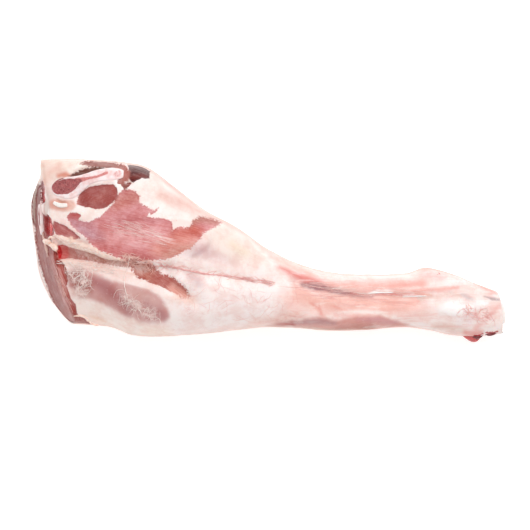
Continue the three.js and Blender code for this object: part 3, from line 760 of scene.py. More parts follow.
SHANK: tuple[Tissue, ...] = (
    stain("shank blush", "#f9d0c7", strand((14, 17, 18, 14), (30, -50), (70, -54), (120, -56),
        (160, -50)), 14, 0.95),
    stain("shank top pale", "#fcebe6", strand((2.4, 3, 2.4), (52, -27), (100, -28), (136, -27)), 3, 0.95),
    stain("calf red", "#e58e87", strand((1.4, 4, 5, 3.6, 1.2), (14, -19), (28, -26), (42, -32), (56, -37),
        (72, -42)), 4.5, 0.95),
    stain("calf tan", "#eec8bd", strand((2, 3, 2), (4, -8), (26, -18), (48, -27)), 3, 0.8),
    stain("calf coral", "#f2b3a9", strand((2, 3, 4, 4), (66, -36), (90, -38), (120, -38), (156, -36)), 5,
        0.8),
    stain("tendon shadow", "#a87f83", strand((2.6, 3.6, 3.2, 2.2, 0.8), (36, -36), (50, -38), (66, -42),
        (84, -46), (106, -48)), 2.2, 0.9),
    stain("tendon plum", "#a0757b", strand((0.3, 1.0, 1.0, 0.4), (40, -37), (54, -40), (70, -44),
        (88, -47)), 1.6, 0.5),
    stain("tendon pale", "#e9cfc9", strand((0.4, 0.8, 0.5), (44, -34.5), (60, -37), (80, -42)), 1.5, 0.7),
    stain("tendon red", "#e0807c", strand((0.3, 0.8, 0.9, 0.5), (84, -44.5), (104, -46), (126, -46),
        (158, -46)), 1.4, 0.85),
    # Painted highlights: white lines where light glints along the tendon.
    cover("tendon flash", "#fffaf6", strand((0.2, 0.9, 0.9, 0.2), (103, -44.2), (110, -43.6),
        (118, -43.4), (126, -43.8)), 0.7, 1, 0.5),
    cover("tendon glint", "#fff4f0", strand((0.2, 0.6, 0.2), (138, -47.4), (148, -47.2), (160, -47)), 0.8,
        0.9, 0.4),
    stain("shin salmon", "#f4c3b7", strand((3, 5, 6, 5), (30, -48), (70, -54), (110, -56), (150, -54)), 7,
        0.8),
    stain("shin red branch", "#f0a59a", strand((0.8, 1.6, 0.6), (44, -54), (52, -59), (55, -66)), 2.6,
        0.85),
    stain("shin red twig", "#f2aea2", strand((0.5, 1.1, 0.4), (64, -57), (72, -60), (82, -63)), 2, 0.7),
    stain("shin cream", "#fdeae4", strand((1, 2, 2.4, 1.6), (60, -68), (84, -63), (110, -64), (134, -72)),
        2.4, 0.95),
    under("shin muscle", "#d8988f", patch((24, -76), (38, -71), (52, -69), (70, -72), (90, -67),
        (114, -68), (132, -74), (148, -79), (114, -82), (90, -86), (60, -88), (34, -86)), 2.6, 0.85, 0, 0,
        0.4),
    stain("shin dusk", "#bf999c", strand((1.4, 2.8, 1.6), (30, -74), (50, -72.5), (68, -74)), 3, 0.75),
    stain("shin lilac", "#dba9ae", strand((1.2, 2.4, 1.2), (92, -71), (110, -71), (130, -75)), 3, 0.75),
    stain("shin low edge", "#b6705f", strand(4.5, (34, -83), (70, -84), (104, -82)), 4, 0.85),
    stain("knee red", "#ab3c30", strand((1.4, 4.4, 3), (-6, -82), (12, -77), (26, -75)), 3.4, 0.9),
    stain("knee orange", "#f3c2b3", strand((3, 4, 3), (-14, -74), (4, -72), (30, -66)), 6, 0.6),
    stain("knee gleam", "#fff6f3", strand((3, 3), (16, -33), (22, -36)), 4, 0.9),
    stain("hock pale", "#fbe9e5", strand((12, 16, 14), (168, -52), (196, -62), (222, -64)), 10, 0.95),
    stain("heel rose", "#f8d5d2", strand((4, 5), (158, -26), (176, -28)), 5, 0.7),
    stain("heel top tan", "#eec0b2", strand((1, 1.6, 1), (154, -22), (166, -19.5), (186, -24)), 2.4, 0.7),
    stain("heel white", "#fffdfc", strand((1.6, 2.4, 1.8), (184, -30), (192, -33), (200, -34)), 3, 0.9),
    blood("heel spot", "#c83a44", strand((0.5, 0.8), (171.2, -25.4), (173.4, -24.6)), 0.5, 0.6),
    stain("hock rose band", "#f2b2a8", strand((0.8, 1.5, 1.8, 0.8), (146, -43), (166, -41.5), (180, -40),
        (192, -38.6)), 2.4, 0.85),
    stain("hock orange", "#eeab97", strand((0.8, 1.1, 0.5), (150, -46), (158, -46), (166, -47.5)), 1.8,
        0.75),
    stain("hock tan band", "#e9cdc4", strand((1.2, 1.8, 1.6, 1.4), (154, -50), (170, -49), (184, -45.5),
        (198, -46.5)), 2.8, 0.85),
    stain("hock grey patch", "#d8cdce", strand((1.4, 2.4, 1.4), (197, -46), (202, -49.5), (207, -51)),
        2.8, 0.85),
    stain("hock grey streak", "#b9a6a9", strand((0.5, 1.5, 0.9), (219, -48.4), (226, -50), (235, -51.4)),
        1.6, 0.9),
    stain("hock red edge", "#ea9f96", strand((0.8, 1.8, 1.8, 1), (210, -35), (218, -38), (226, -42),
        (232, -45)), 2.4, 0.9),
    stain("capsule white", "#fffefd", strand((3, 6, 6, 3), (176, -61), (184, -59), (192, -60),
        (200, -61)), 5, 0.95, 0.8),
    stain("capsule white end", "#fffefd", strand((2.4, 4, 2.4), (204, -59), (212, -57), (222, -55)), 4,
        0.95, 0.6),
    stain("capsule white low", "#fffdfc", strand((2, 3.4, 2), (197, -68), (193, -72), (190, -76)), 3.4,
        0.9, 0.5),
    stain("capsule veil", "#fcecee", strand((2, 3, 2), (199, -64), (205, -68), (203, -76)), 4, 0.8),
    stain("capsule loop", "#f5d2d2", strand((0.4, 0.9, 0.9, 0.9, 0.4), (209, -61), (208, -65), (212, -70),
        (218, -70), (226, -64)), 1.2, 0.75),
    stain("hock low tan", "#ecd0c5", strand((1.6, 2.8, 2), (168, -78), (186, -80), (202, -84)), 4, 0.85),
    stain("hock raw band", "#f6c9c3", strand((0.8, 2, 2.4, 2.4), (233, -57), (226, -66), (217, -74),
        (208, -84)), 3, 0.9),
    blood("hock tag blood", "#a02a33", strand((0.8, 1.6, 0.8), (209, -87), (213, -87.6), (218, -86)), 1),
    blood("hock end blood", "#a02a33", strand((1, 2, 1.2), (221, -85), (227, -85.6), (233, -84)), 1),
    stain("hock raw end", "#e89c94", strand((2, 3, 2), (200, -84), (208, -86), (216, -84)), 3, 0.85),
)

WEBS: tuple[Tissue, ...] = (
    web("quadriceps web", "#f4d9d2", strand((7, 8, 7), (-190, -26), (-181, -35), (-186, -46)), 3),
    web("knee side web", "#f4d9d2", strand((5, 7, 6), (-140, -48), (-126, -60), (-112, -64)), 5, 0.9),
    web("seam web", "#f0c8bc", strand((3, 4, 4), (-190, -6), (-160, -14), (-122, -20)), 4, 0.7),
    sheen("gracilis sheen", "#f6ccca", strand((6, 9, 8), (-142, 17), (-120, 13), (-96, 6)), 9, 1.0),
    sheen("gracilis left sheen", "#f6ccca", strand((5, 6), (-178, 16), (-160, 10)), 7, 0.5),
    sheen("loin sheen", "#e8c4bc", strand((4, 5), (-206, -24), (-198, -54)), 6, 0.6),
)


@dataclass
class Paint:
    """What the tissues give each corner of a mesh."""

    cover: Array
    lean_tint: Array
    lean: Array
    blood: Array
    web: Array
    sheen: Array
    fibre: Array
    streak: Array
    grain: Array
    lift: Array


@dataclass(frozen=True)
class TissueMap:
    """Turns the named tissues into attributes and relief for places in plan."""

    tissues: tuple[Tissue, ...] = THIGH + FACE + SHANK + WEBS
    fat: str = "#fff0ec"
    meat: str = "#b97a76"
    step: float = 1.1
    far: float = 8.0
    ragged: float = 0.9
    fine_ragged: float = 0.45

    def warped(self, points: Array) -> tuple[Array, Array]:
        """Moves places a little by noise, so that no tissue has a ruled edge.

        Args:
            points: Rows of x, y, z.

        Returns:
            The moved x and y.
        """
        broad, fine = Grit(11), Grit(12)
        x = points[:, 0] + self.ragged * broad.value(points, 9) + self.fine_ragged * fine.value(points, 3)
        shifted = points + 40.7
        y = points[:, 1] + self.ragged * broad.value(shifted, 9)
        return x, y + self.fine_ragged * fine.value(shifted, 3)

    def paint(self, points: Array, facing: Array) -> Paint:
        """Attributes for points of the skin.

        Args:
            points: Rows of x, y, z.
            facing: How far each point faces up or out of the loin cut, 0 to 1.

        Returns:
            The attributes, one row for each point.
        """
        count = len(points)
        x, y = self.warped(points)
        paint = Paint(
            cover=np.tile(linear(self.fat), (count, 1)),
            lean_tint=np.tile(linear(self.meat), (count, 1)),
            lean=np.full(count, -self.far),
            blood=np.full(count, -self.far),
            web=np.zeros(count),
            sheen=np.zeros(count),
            fibre=np.ones(count),
            streak=smooth(-20, 60, points[:, 0]),
            grain=points.copy(),
            lift=np.zeros(count),
        )
        for tissue in self.tissues:
            self.lay(tissue, paint, x, y, points)
        paint.lift -= self.step * smooth(-0.6, 1.0, paint.lean)
        for name in ("lean", "blood"):
            values = getattr(paint, name)
            setattr(paint, name, -self.far + (np.clip(values, -self.far, self.far) + self.far) * facing)
        paint.cover = blend(paint.cover, self.fat, 1 - facing)
        paint.web *= facing
        paint.sheen *= facing
        paint.lift *= facing
        return paint

    def lay(self, tissue: Tissue, paint: Paint, x: Array, y: Array, points: Array) -> None:
        """Lays one tissue over what is painted so far.

        Args:
            tissue: The tissue.
            paint: The attributes, changed in place.
            x: Warped places along the leg.
            y: Warped places across the leg.
            points: The unwarped points.
        """
        margin = tissue.soft + self.far + tissue.shape.reach
        near = np.ones(len(x), bool)
        for place, corners in zip((x, y), zip(*tissue.shape.points)):
            near &= (place > min(corners) - margin) & (place < max(corners) + margin)
        rows = np.flatnonzero(near)
        if not len(rows):
            return
        depth = tissue.shape.depth(x[rows], y[rows])
        share = smooth(-tissue.soft, tissue.soft, depth) * tissue.strength
        tint = tissue.tint
        paint.lift[rows] += tissue.lift * smooth(-max(tissue.soft, 1.2), 1.2, depth)
        if tissue.kind is Kind.LEAN:
            paint.lean[rows] = np.maximum(paint.lean[rows], depth / tissue.soft)
            paint.lean_tint[rows] = blend(paint.lean_tint[rows], tint, smooth(-2.5, 0.5, depth))
        elif tissue.kind is Kind.COVER:
            paint.lean[rows] = np.minimum(paint.lean[rows], -depth)
            paint.cover[rows] = blend(paint.cover[rows], tint, np.maximum(share, smooth(-2, 0, depth)))
        elif tissue.kind is Kind.BLOOD:
            paint.blood[rows] = np.maximum(paint.blood[rows], depth)
        elif tissue.kind is Kind.WEB:
            paint.web[rows] = np.maximum(paint.web[rows], share)
        elif tissue.kind is Kind.SHEEN:
            paint.sheen[rows] = np.maximum(paint.sheen[rows], share)
        else:
            if tissue.kind is not Kind.MEAT:
                paint.cover[rows] = blend(paint.cover[rows], tint, share)
            if tissue.kind in (Kind.MEAT, Kind.STAIN):
                paint.lean_tint[rows] = blend(paint.lean_tint[rows], tint, share)
        if tissue.kind in (Kind.LEAN, Kind.UNDER):
            turn = math.radians(tissue.grain)
            inside = rows[depth > 0]
            px, py = points[inside, 0], points[inside, 1]
            paint.grain[inside, 0] = math.cos(turn) * px + math.sin(turn) * py
            paint.grain[inside, 1] = math.cos(turn) * py - math.sin(turn) * px
            paint.fibre[inside] = tissue.fibre


# --------------------------------------------------------------------------- shader tools


class NodeMaker:
    """Short calls that add nodes to a tree."""

    def __init__(self, tree: NodeTree) -> None:
        """Keeps the tree that the nodes go into."""
        self.tree = tree

    def put(self, socket: Socket, value: object) -> None:
        """Links a socket to another, or sets its value.

        Args:
            socket: The input.
            value: Another node's socket, a plain value, or a hex code for a colour.
        """
        if isinstance(value, Socket):
            self.tree.links.new(value, socket)
        else:
            socket.default_value = (*linear(value), 1) if isinstance(value, str) else value

    def node(self, kind: str, option: tuple[str, str] | None = None, **inputs: object) -> Node:
        """Adds a node.

        Args:
            kind: The node's type.
            option: A setting's name and value, set before the inputs.
            inputs: Inputs by name, with underscores for spaces.

        Returns:
            The node.
        """
        node = self.tree.nodes.new(kind)
        if option:
            setattr(node, *option)
        for name, value in inputs.items():
            self.put(node.inputs[name.replace("_", " ")], value)
        return node

    def pair(self, kind: str, operation: str, a: object, b: object) -> Socket:
        """Sum, product or other function of two values.

        Args:
            kind: The node's type.
            operation: The function.
            a: First value.
            b: Second value.

        Returns:
            The result.
        """
        node = self.node(kind, ("operation", operation))
        self.put(node.inputs[0], a)
        self.put(node.inputs[1], b)
        return node.outputs[0]

    def math(self, operation: str, a: object, b: object = 0.0) -> Socket:
        """Sum, product or other function of two numbers."""
        return self.pair("ShaderNodeMath", operation, a, b)


class Shader(NodeMaker):
    """A material under construction."""

    def __init__(self, name: str) -> None:
        """Starts a material that has only its output.

        Args:
            name: The material's name.
        """
        self.material = bpy.data.materials.new(name)
        self.material.use_nodes = True
        super().__init__(self.material.node_tree)
        self.tree.nodes.clear()
        self.place = self.node("ShaderNodeTexCoord").outputs["Object"]

    def attribute(self, name: str, output: str = "Fac") -> Socket:
        """Reads a mesh attribute."""
        return self.node("ShaderNodeAttribute", ("attribute_name", name)).outputs[output]

    def stretch(self, vector: object, scale: tuple[float, float, float], turn: float = 0) -> Socket:
        """Scales a vector, after a turn about Z in degrees."""
        turned = (0, 0, math.radians(turn))
        return self.node("ShaderNodeMapping", Vector=vector, Scale=scale, Rotation=turned).outputs[0]

    def noise(
        self, vector: object, scale: float, detail: float = 3, rough: float = 0.55, twist: float = 0
    ) -> Socket:
        """Noise from 0 to 1, mostly near the middle."""
        values = {"Scale": scale, "Detail": detail, "Roughness": rough, "Distortion": twist}
        return self.node("ShaderNodeTexNoise", Vector=vector, **values).outputs["Fac"]

    def spread(self, vector: object, scale: float, reach: float) -> Socket:
        """Noise around 0 that is added to a distance to fray its edge."""
        return self.math("MULTIPLY", self.math("SUBTRACT", self.noise(vector, scale), 0.5), reach)

    def cells(self, vector: object, scale: float, feature: str = "F1") -> Socket:
        """Distance pattern of scattered cells."""
        node = self.node("ShaderNodeTexVoronoi", ("feature", feature), Vector=vector, Scale=scale)
        return node.outputs["Distance"]

    def step(self, value: object, low: float, high: float, to_low: float = 0, to_high: float = 1) -> Socket:
        """Smooth step of a value between two limits.

        Args:
            value: The value.
            low: Limit where the result is to_low.
            high: Limit where the result is to_high.
            to_low: Result at the low limit.
            to_high: Result at the high limit.

        Returns:
            The result.
        """
        limits = {"From Min": low, "From Max": high, "To Min": to_low, "To Max": to_high}
        way = ("interpolation_type", "SMOOTHSTEP")
        return self.node("ShaderNodeMapRange", way, Value=value, **limits).outputs[0]

    def mix(self, share: object, a: object, b: object, mode: str = "MIX") -> Socket:
        """Mix of two colours.

        Args:
            share: How much of the second colour, 0 to 1.
            a: First colour.
            b: Second colour.
            mode: How they mix.

        Returns:
            The colour.
        """
        node = self.node("ShaderNodeMix", ("data_type", "RGBA"))
        node.blend_type = mode
        node.clamp_result = mode == "SUBTRACT"
        for place, value in ((0, share), (6, a), (7, b)):
            self.put(node.inputs[place], value)
        return node.outputs[2]

    def bump(self, height: object, depth_mm: float, strength: float = 1, after: object = None) -> Socket:
        """Bump from a height of 0 to 1 that stands for a real depth.

        Args:
            height: The height.
            depth_mm: The depth that it stands for.
            strength: How strongly it shows.
            after: A normal that it is added to.

        Returns:
            The normal.
        """
        node = self.node("ShaderNodeBump", Height=height, Distance=depth_mm * MM, Strength=strength)
        if after is not None:
            self.put(node.inputs["Normal"], after)
        return node.outputs["Normal"]

    def finish(self, colour: object, rough: object, normal: object, **plain: object) -> Material:
        """Ends in one Principled shader.

        Args:
            colour: Base colour.
            rough: Roughness.
            normal: Normal.
            plain: Other inputs by name, the same all over the surface.

        Returns:
            The finished material.
        """
        inputs = {"Base Color": colour, "Roughness": rough, "Normal": normal, **plain}
        main = self.node("ShaderNodeBsdfPrincipled", **inputs)
        self.node("ShaderNodeOutputMaterial", Surface=main.outputs[0])
        return self.material


def wet_look(
    depth: float, spread: tuple[float, float, float], coat: float, coat_rough: float = 0.2
) -> dict[str, object]:
    """Inputs that let light into a tissue and lay a wet film over it.

    Args:
        depth: Share of the light that goes in.
        spread: How far red, green and blue light spread, of 2 mm.
        coat: Strength of the film.
        coat_rough: Roughness of the film.

    Returns:
        The shader's inputs by name.
    """
    return {
        "Subsurface Weight": depth,
        "Subsurface Radius": spread,
        "Subsurface Scale": 2 * MM,
        "Coat Weight": coat,
        "Coat Roughness": coat_rough,
    }


@dataclass(frozen=True)
class FleshFinish:
    """Fat, membrane and bare meat, told apart by the skin's attributes."""

    edge: float = 0.4
    ragged: float = 1.5
    blood: str = "#b0121e"
    blood_bright: str = "#d23038"
    thread: str = "#fbe8e2"
    gloss: str = "#2a3434"
    fibre_dark: str = "#eccfcd"
    fibre_pale: str = "#ffe9e2"
    fine_fibre: str = "#f6d2cb"
    blotch: str = "#e9c8c4"
    fleck: str = "#f4cfc8"
    sheen: str = "#fbdedb"
    mottle: str = "#f3dfda"
    wisp: str = "#eeb0a8"
    wisp_pale: str = "#fff4ef"
    vein: str = "#df8f8a"
    grease: str = "#fffaf6"

    def build(self) -> Material:
        """Makes the material.

        Returns:
            The material.
        """
        s = Shader("flesh")
        grain = s.attribute("grain", "Vector")
        crumble = s.spread(s.place, 520, self.ragged * 2)
        lean = s.step(s.math("ADD", s.attribute("lean"), crumble), -self.edge, self.edge)
        fibre = s.noise(s.stretch(grain, (0.045, 1.15, 0.3)), 1.0, 4, 0.62, 0.35)
        fine = s.noise(s.stretch(grain, (0.16, 2.2, 1.0)), 1.0, 2, 0.6)
        meat = self.meat(s, grain, fibre, fine)
        cover, lumps, threads = self.cover(s)
        colour = s.mix(lean, cover, meat)
        web = self.web(s)
        colour = s.mix(s.math("MULTIPLY", web, 0.85), colour, self.thread)
        drops = s.spread(s.place, 420, 3.2)
        blood = s.step(s.math("ADD", s.attribute("blood"), drops), -0.5, 0.7)
        wet = s.mix(s.step(s.noise(s.place, 300, 3), 0.45, 0.65), self.blood, self.blood_bright)
        colour = s.mix(s.math("MULTIPLY", blood, 0.88), colour, wet)
        rough = s.step(s.noise(s.place, 90, 3), 0.3, 0.7, 0.36, 0.5)
        rough = s.math("SUBTRACT", rough, s.math("MULTIPLY", lean, 0.05))
        rough = s.math("SUBTRACT", rough, s.math("MULTIPLY", blood, 0.2))
        fibres = s.math("ADD", s.math("MULTIPLY", fibre, 0.6), s.math("MULTIPLY", fine, 0.4))
        fibres = s.math("MULTIPLY", fibres, s.attribute("fibre"))
        normal = s.bump(s.math("MULTIPLY", fibres, lean), 0.5, 0.6)
        normal = s.bump(lumps, 0.7, 0.5, normal)
        normal = s.bump(s.math("ADD", web, s.math("MULTIPLY", threads, 0.4)), 0.3, 0.6, normal)
        look = wet_look(0.14, (1.1, 0.4, 0.29), 0.1)
        colour = s.mix(1.0, colour, self.gloss, "SUBTRACT")
        return s.finish(colour, rough, normal, Specular_IOR_Level=0.3, **look)

    def meat(self, s: Shader, grain: object, fibre: object, fine: object) -> Socket:
        """Bare meat: its tint, darker and paler along its fibres, with a pale sheen in places.

        Args:
            s: The material under construction.
            grain: Place along and across the fibres.
            fibre: Broad fibre pattern.
            fine: Fine fibre pattern.

        Returns:
            The colour.
        """
        tint = s.attribute("lean_tint", "Color")
        show = s.attribute("fibre")
        dark = s.mix(show, tint, s.mix(1.0, tint, self.fibre_dark, "MULTIPLY"))
        pale = s.mix(s.math("MULTIPLY", show, 0.16), tint, self.fibre_pale)
        colour = s.mix(s.step(fibre, 0.34, 0.66), dark, pale)
        colour = s.mix(s.math("MULTIPLY", s.step(fine, 0.56, 0.76, 0, 0.3), show), colour, self.fine_fibre)
        blotch = s.step(s.noise(s.place, 85, 6, 0.7), 0.38, 0.62, 0, 0.75)
        colour = s.mix(blotch, colour, s.mix(1.0, colour, self.blotch, "MULTIPLY"))
        fleck = s.step(s.noise(s.place, 560, 3, 0.6), 0.6, 0.74, 0, 0.22)
        colour = s.mix(fleck, colour, self.fleck)
        streaks = s.noise(s.stretch(grain, (0.04, 0.75, 0.3)), 1.0, 5, 0.72, 0.6)
        sheen = s.math("MULTIPLY", s.step(streaks, 0.49, 0.62), s.attribute("sheen"))
        return s.mix(s.math("MULTIPLY", sheen, 0.62), colour, self.sheen)

    def web(self, s: Shader) -> Socket:
        """How far torn membrane and its threads show.

        Args:
            s: The material under construction.

        Returns:
            The share.
        """
        coarse = s.math("ABSOLUTE", s.math("SUBTRACT", s.noise(s.place, 110, 3, 0.55, 1.4), 0.5))
        fine = s.math("ABSOLUTE", s.math("SUBTRACT", s.noise(s.place, 210, 3, 0.55, 1.8), 0.5))
        lines = s.math("MAXIMUM", s.step(coarse, 0.0, 0.022, 1, 0), s.step(fine, 0.0, 0.03, 0.8, 0))
        haze = s.step(s.noise(s.place, 95, 6, 0.74, 0.8), 0.46, 0.6, 0, 0.9)
        return s.math("MULTIPLY", s.attribute("web"), s.math("MAXIMUM", lines, haze))

    def cover(self, s: Shader) -> tuple[object, object, object]:
        """Fat and membrane: mottled, with wisps along the leg and fine rosy lines.

        Args:
            s: The material under construction.

        Returns:
            Colour, height of the lumps, and how far the fine lines show.
        """
        tint = s.attribute("cover", "Color")
        mottle = s.noise(s.place, 60, 6, 0.68)
        shade = s.mix(1.0, tint, self.mottle, "MULTIPLY")
        colour = s.mix(s.step(mottle, 0.4, 0.64, 0.0, 0.6), tint, shade)
        wisp = s.noise(s.stretch(s.place, (20, 200, 120)), 1.0, 5, 0.66, 0.6)
        wisp_share = s.math("MULTIPLY", s.step(wisp, 0.5, 0.7), s.attribute("streak"))
        colour = s.mix(s.math("MULTIPLY", wisp_share, 0.42), colour, self.wisp)
        pale_share = s.math("MULTIPLY", s.step(wisp, 0.3, 0.47, 1, 0), s.attribute("streak"))
        colour = s.mix(s.math("MULTIPLY", pale_share, 0.45), colour, self.wisp_pale)
        ridge = s.math("ABSOLUTE", s.math("SUBTRACT", s.noise(s.place, 75, 5, 0.62, 0.8), 0.5))
        here = s.step(s.noise(s.place, 24, 2), 0.48, 0.62)
        threads = s.math("MULTIPLY", s.step(ridge, 0.0, 0.012, 1, 0), here)
        colour = s.mix(s.math("MULTIPLY", threads, 0.26), colour, self.vein)
        colour = s.mix(s.step(s.noise(s.place, 520, 3, 0.6), 0.62, 0.75, 0, 0.3), colour, self.grease)
        grease = s.noise(s.place, 240, 3, 0.5)
        lumps = s.math("ADD", s.math("MULTIPLY", mottle, 0.6), s.math("MULTIPLY", grease, 0.4))
        return colour, lumps, threads


@dataclass(frozen=True)
class BoneFinish:
    """Freshly sawn bone or glossy cartilage, with its marrow where the mesh says."""

    name: str
    tint: str
    shade: str
    marrow: str
    rough: float
    coat: float

    def build(self) -> Material:
        """Makes the material.

        Returns:
            The material.
        """
        s = Shader(self.name)
        cloud = s.noise(s.place, 160, 4, 0.6)
        colour = s.mix(s.step(cloud, 0.35, 0.7), self.tint, self.shade)
        saw = s.noise(s.stretch(s.place, (900, 140, 900), 35), 1.0, 2)
        pores = s.cells(s.place, 1500)
        marrow = s.step(s.math("ADD", s.attribute("marrow"), s.spread(s.place, 600, 1.6)), -0.5, 0.6)
        hollow = s.mix(1.0, self.marrow, "#b98080", "MULTIPLY")
        spongy = s.mix(s.step(pores, 0.15, 0.5), hollow, self.marrow)
        colour = s.mix(marrow, colour, spongy)
        rough = s.step(saw, 0.3, 0.7, self.rough - 0.06, self.rough + 0.08)
        normal = s.bump(saw, 0.12, 0.5)
        normal = s.bump(s.math("MULTIPLY", pores, marrow), 0.4, 0.6, normal)
        return s.finish(colour, rough, normal, **wet_look(0.2, (1.0, 0.6, 0.5), self.coat))


@dataclass(frozen=True)
class MarrowFinish:
    """Red spongy marrow with dark pores and pale struts."""

    name: str = "red marrow"
    red: str = "#b4595a"
    deep: str = "#a14448"
    dark: str = "#6d2429"
    strut: str = "#d9928c"

    def build(self) -> Material:
        """Makes the material.

        Returns:
            The material.
        """
        s = Shader(self.name)
        cloud = s.noise(s.place, 260, 4, 0.6)
        colour = s.mix(s.step(cloud, 0.35, 0.68), self.deep, self.red)
        pores = s.cells(s.place, 900)
        here = s.step(s.noise(s.place, 190, 2), 0.44, 0.58)
        holes = s.math("MULTIPLY", s.step(pores, 0.16, 0.34, 1, 0), here)
        struts = s.step(s.cells(s.place, 620, "DISTANCE_TO_EDGE"), 0.02, 0.1, 1, 0)
        colour = s.mix(s.math("MULTIPLY", struts, 0.35), colour, self.strut)
        colour = s.mix(holes, colour, self.dark)
        height = s.math("SUBTRACT", s.math("MULTIPLY", struts, 0.4), holes)
        rough = s.step(cloud, 0.3, 0.7, 0.32, 0.5)
        look = wet_look(0.12, (1.0, 0.25, 0.2), 0.35)
        return s.finish(colour, rough, s.bump(height, 0.6, 0.8), **look)


@dataclass(frozen=True)
class WetFinish:
    """A wet, nearly plain tissue such as a thread, a clot or a flap."""

    name: str
    tint: str
    shade: str
    rough: float = 0.35
    coat: float = 0.3
    glow: float = 0.25
    alpha: float = 1.0
    scale: float = 380

    def build(self) -> Material:
        """Makes the material.

        Returns:
            The material.
        """
        s = Shader(self.name)
        cloud = s.noise(s.place, self.scale, 3, 0.6)
        colour = s.mix(s.step(cloud, 0.36, 0.66), self.tint, self.shade)
        normal = s.bump(s.noise(s.place, self.scale * 2, 2), 0.2, 0.5)
        rough = s.step(cloud, 0.3, 0.7, self.rough - 0.08, self.rough + 0.08)
        look = wet_look(self.glow, (0.75, 0.34, 0.26), self.coat, 0.15)
        return s.finish(colour, rough, normal, Alpha=self.alpha, **look)


# --------------------------------------------------------------------------- mesh tools


def grid_faces(rows: int, columns: int, closed: bool) -> list[tuple[int, ...]]:
    """Quads of a grid of corners, row after row.

    Args:
        rows: How many rows of corners.
        columns: How many corners in a row.
        closed: Whether each row runs round to its start.

    Returns:
        Corner numbers of each face.
    """
    faces = []
    for r in range(rows - 1):
        for c in range(columns if closed else columns - 1):
            d = (c + 1) % columns
            faces.append((r * columns + c, r * columns + d, (r + 1) * columns + d, (r + 1) * columns + c))
    return faces


def tube_faces(rings: int, around: int) -> list[tuple[int, ...]]:
    """Faces of a tube of rings with a flat face at each end.

    Args:
        rings: How many rings.
        around: How many corners in a ring.

    Returns:
        Corner numbers of each face.
    """
    first = tuple(range(around))
    last = tuple(range(rings * around - 1, (rings - 1) * around - 1, -1))
    return grid_faces(rings, around, closed=True) + [first, last]


def make_piece(name: str, points_mm: Array, faces: Sequence[Sequence[int]], finish: Material) -> Piece:
    """Makes a smooth mesh object with its place in its mesh.

    Args:
        name: The piece's name.
        points_mm: Rows of x, y, z in millimetres.
        faces: Corner numbers of each face.
        finish: The material.

    Returns:
        The object.
    """
    mesh = bpy.data.meshes.new(name)
    mesh.from_pydata((np.asarray(points_mm) * MM).tolist(), [], faces)
    mesh.materials.append(finish)
    mesh.polygons.foreach_set("use_smooth", [True] * len(mesh.polygons))
    mesh.update()
    piece = bpy.data.objects.new(name, mesh)
    bpy.context.scene.collection.objects.link(piece)
    return piece


def make_solid(name: str, points_mm: Array, rings: int, finish: Material) -> Piece:
    """Makes a closed tube of rings with its faces outwards.

    Args:
        name: The piece's name.
        points_mm: Rows of x, y, z in millimetres, ring after ring.
        rings: How many rings.
        finish: The material.

    Returns:
        The object.
    """
    piece = make_piece(name, points_mm, tube_faces(rings, len(points_mm) // rings), finish)
    shell = bmesh.new()
    shell.from_mesh(piece.data)
    bmesh.ops.recalc_face_normals(shell, faces=shell.faces)
    shell.to_mesh(piece.data)
    shell.free()
    piece.data.update()
    return piece


def give(piece: Piece, name: str, values: Array) -> None:
    """Stores numbers, vectors or colours on a piece's corners.

    Args:
        piece: The piece.
        name: The attribute's name.
        values: One row for each corner.
    """
    kinds = {1: ("FLOAT", "value"), 3: ("FLOAT_VECTOR", "vector"), 4: ("FLOAT_COLOR", "color")}
    width = 1 if values.ndim == 1 else values.shape[1]
    kind, key = kinds[width]
    layer = piece.data.attributes.new(name, kind, "POINT")
    layer.data.foreach_set(key, np.ascontiguousarray(values, np.float32).ravel())


def give_colour(piece: Piece, name: str, values: Array) -> None:
    """Stores colours on a piece's corners."""
    give(piece, name, np.hstack([values, np.ones((len(values), 1))]))


def ride(piece: Piece, slot: Slot, *nodes: str) -> None:
    """Joins a piece to the frame and reports it.

    Args:
        piece: The piece.
        slot: The record's material slot for the piece; not used.
        nodes: The CAD nodes that it stands for.
    """
    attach(piece, "root")
    if nodes:
        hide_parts(*nodes)
    log.info("%s: %d faces", piece.name, len(piece.data.polygons))


# --------------------------------------------------------------------------- the skin


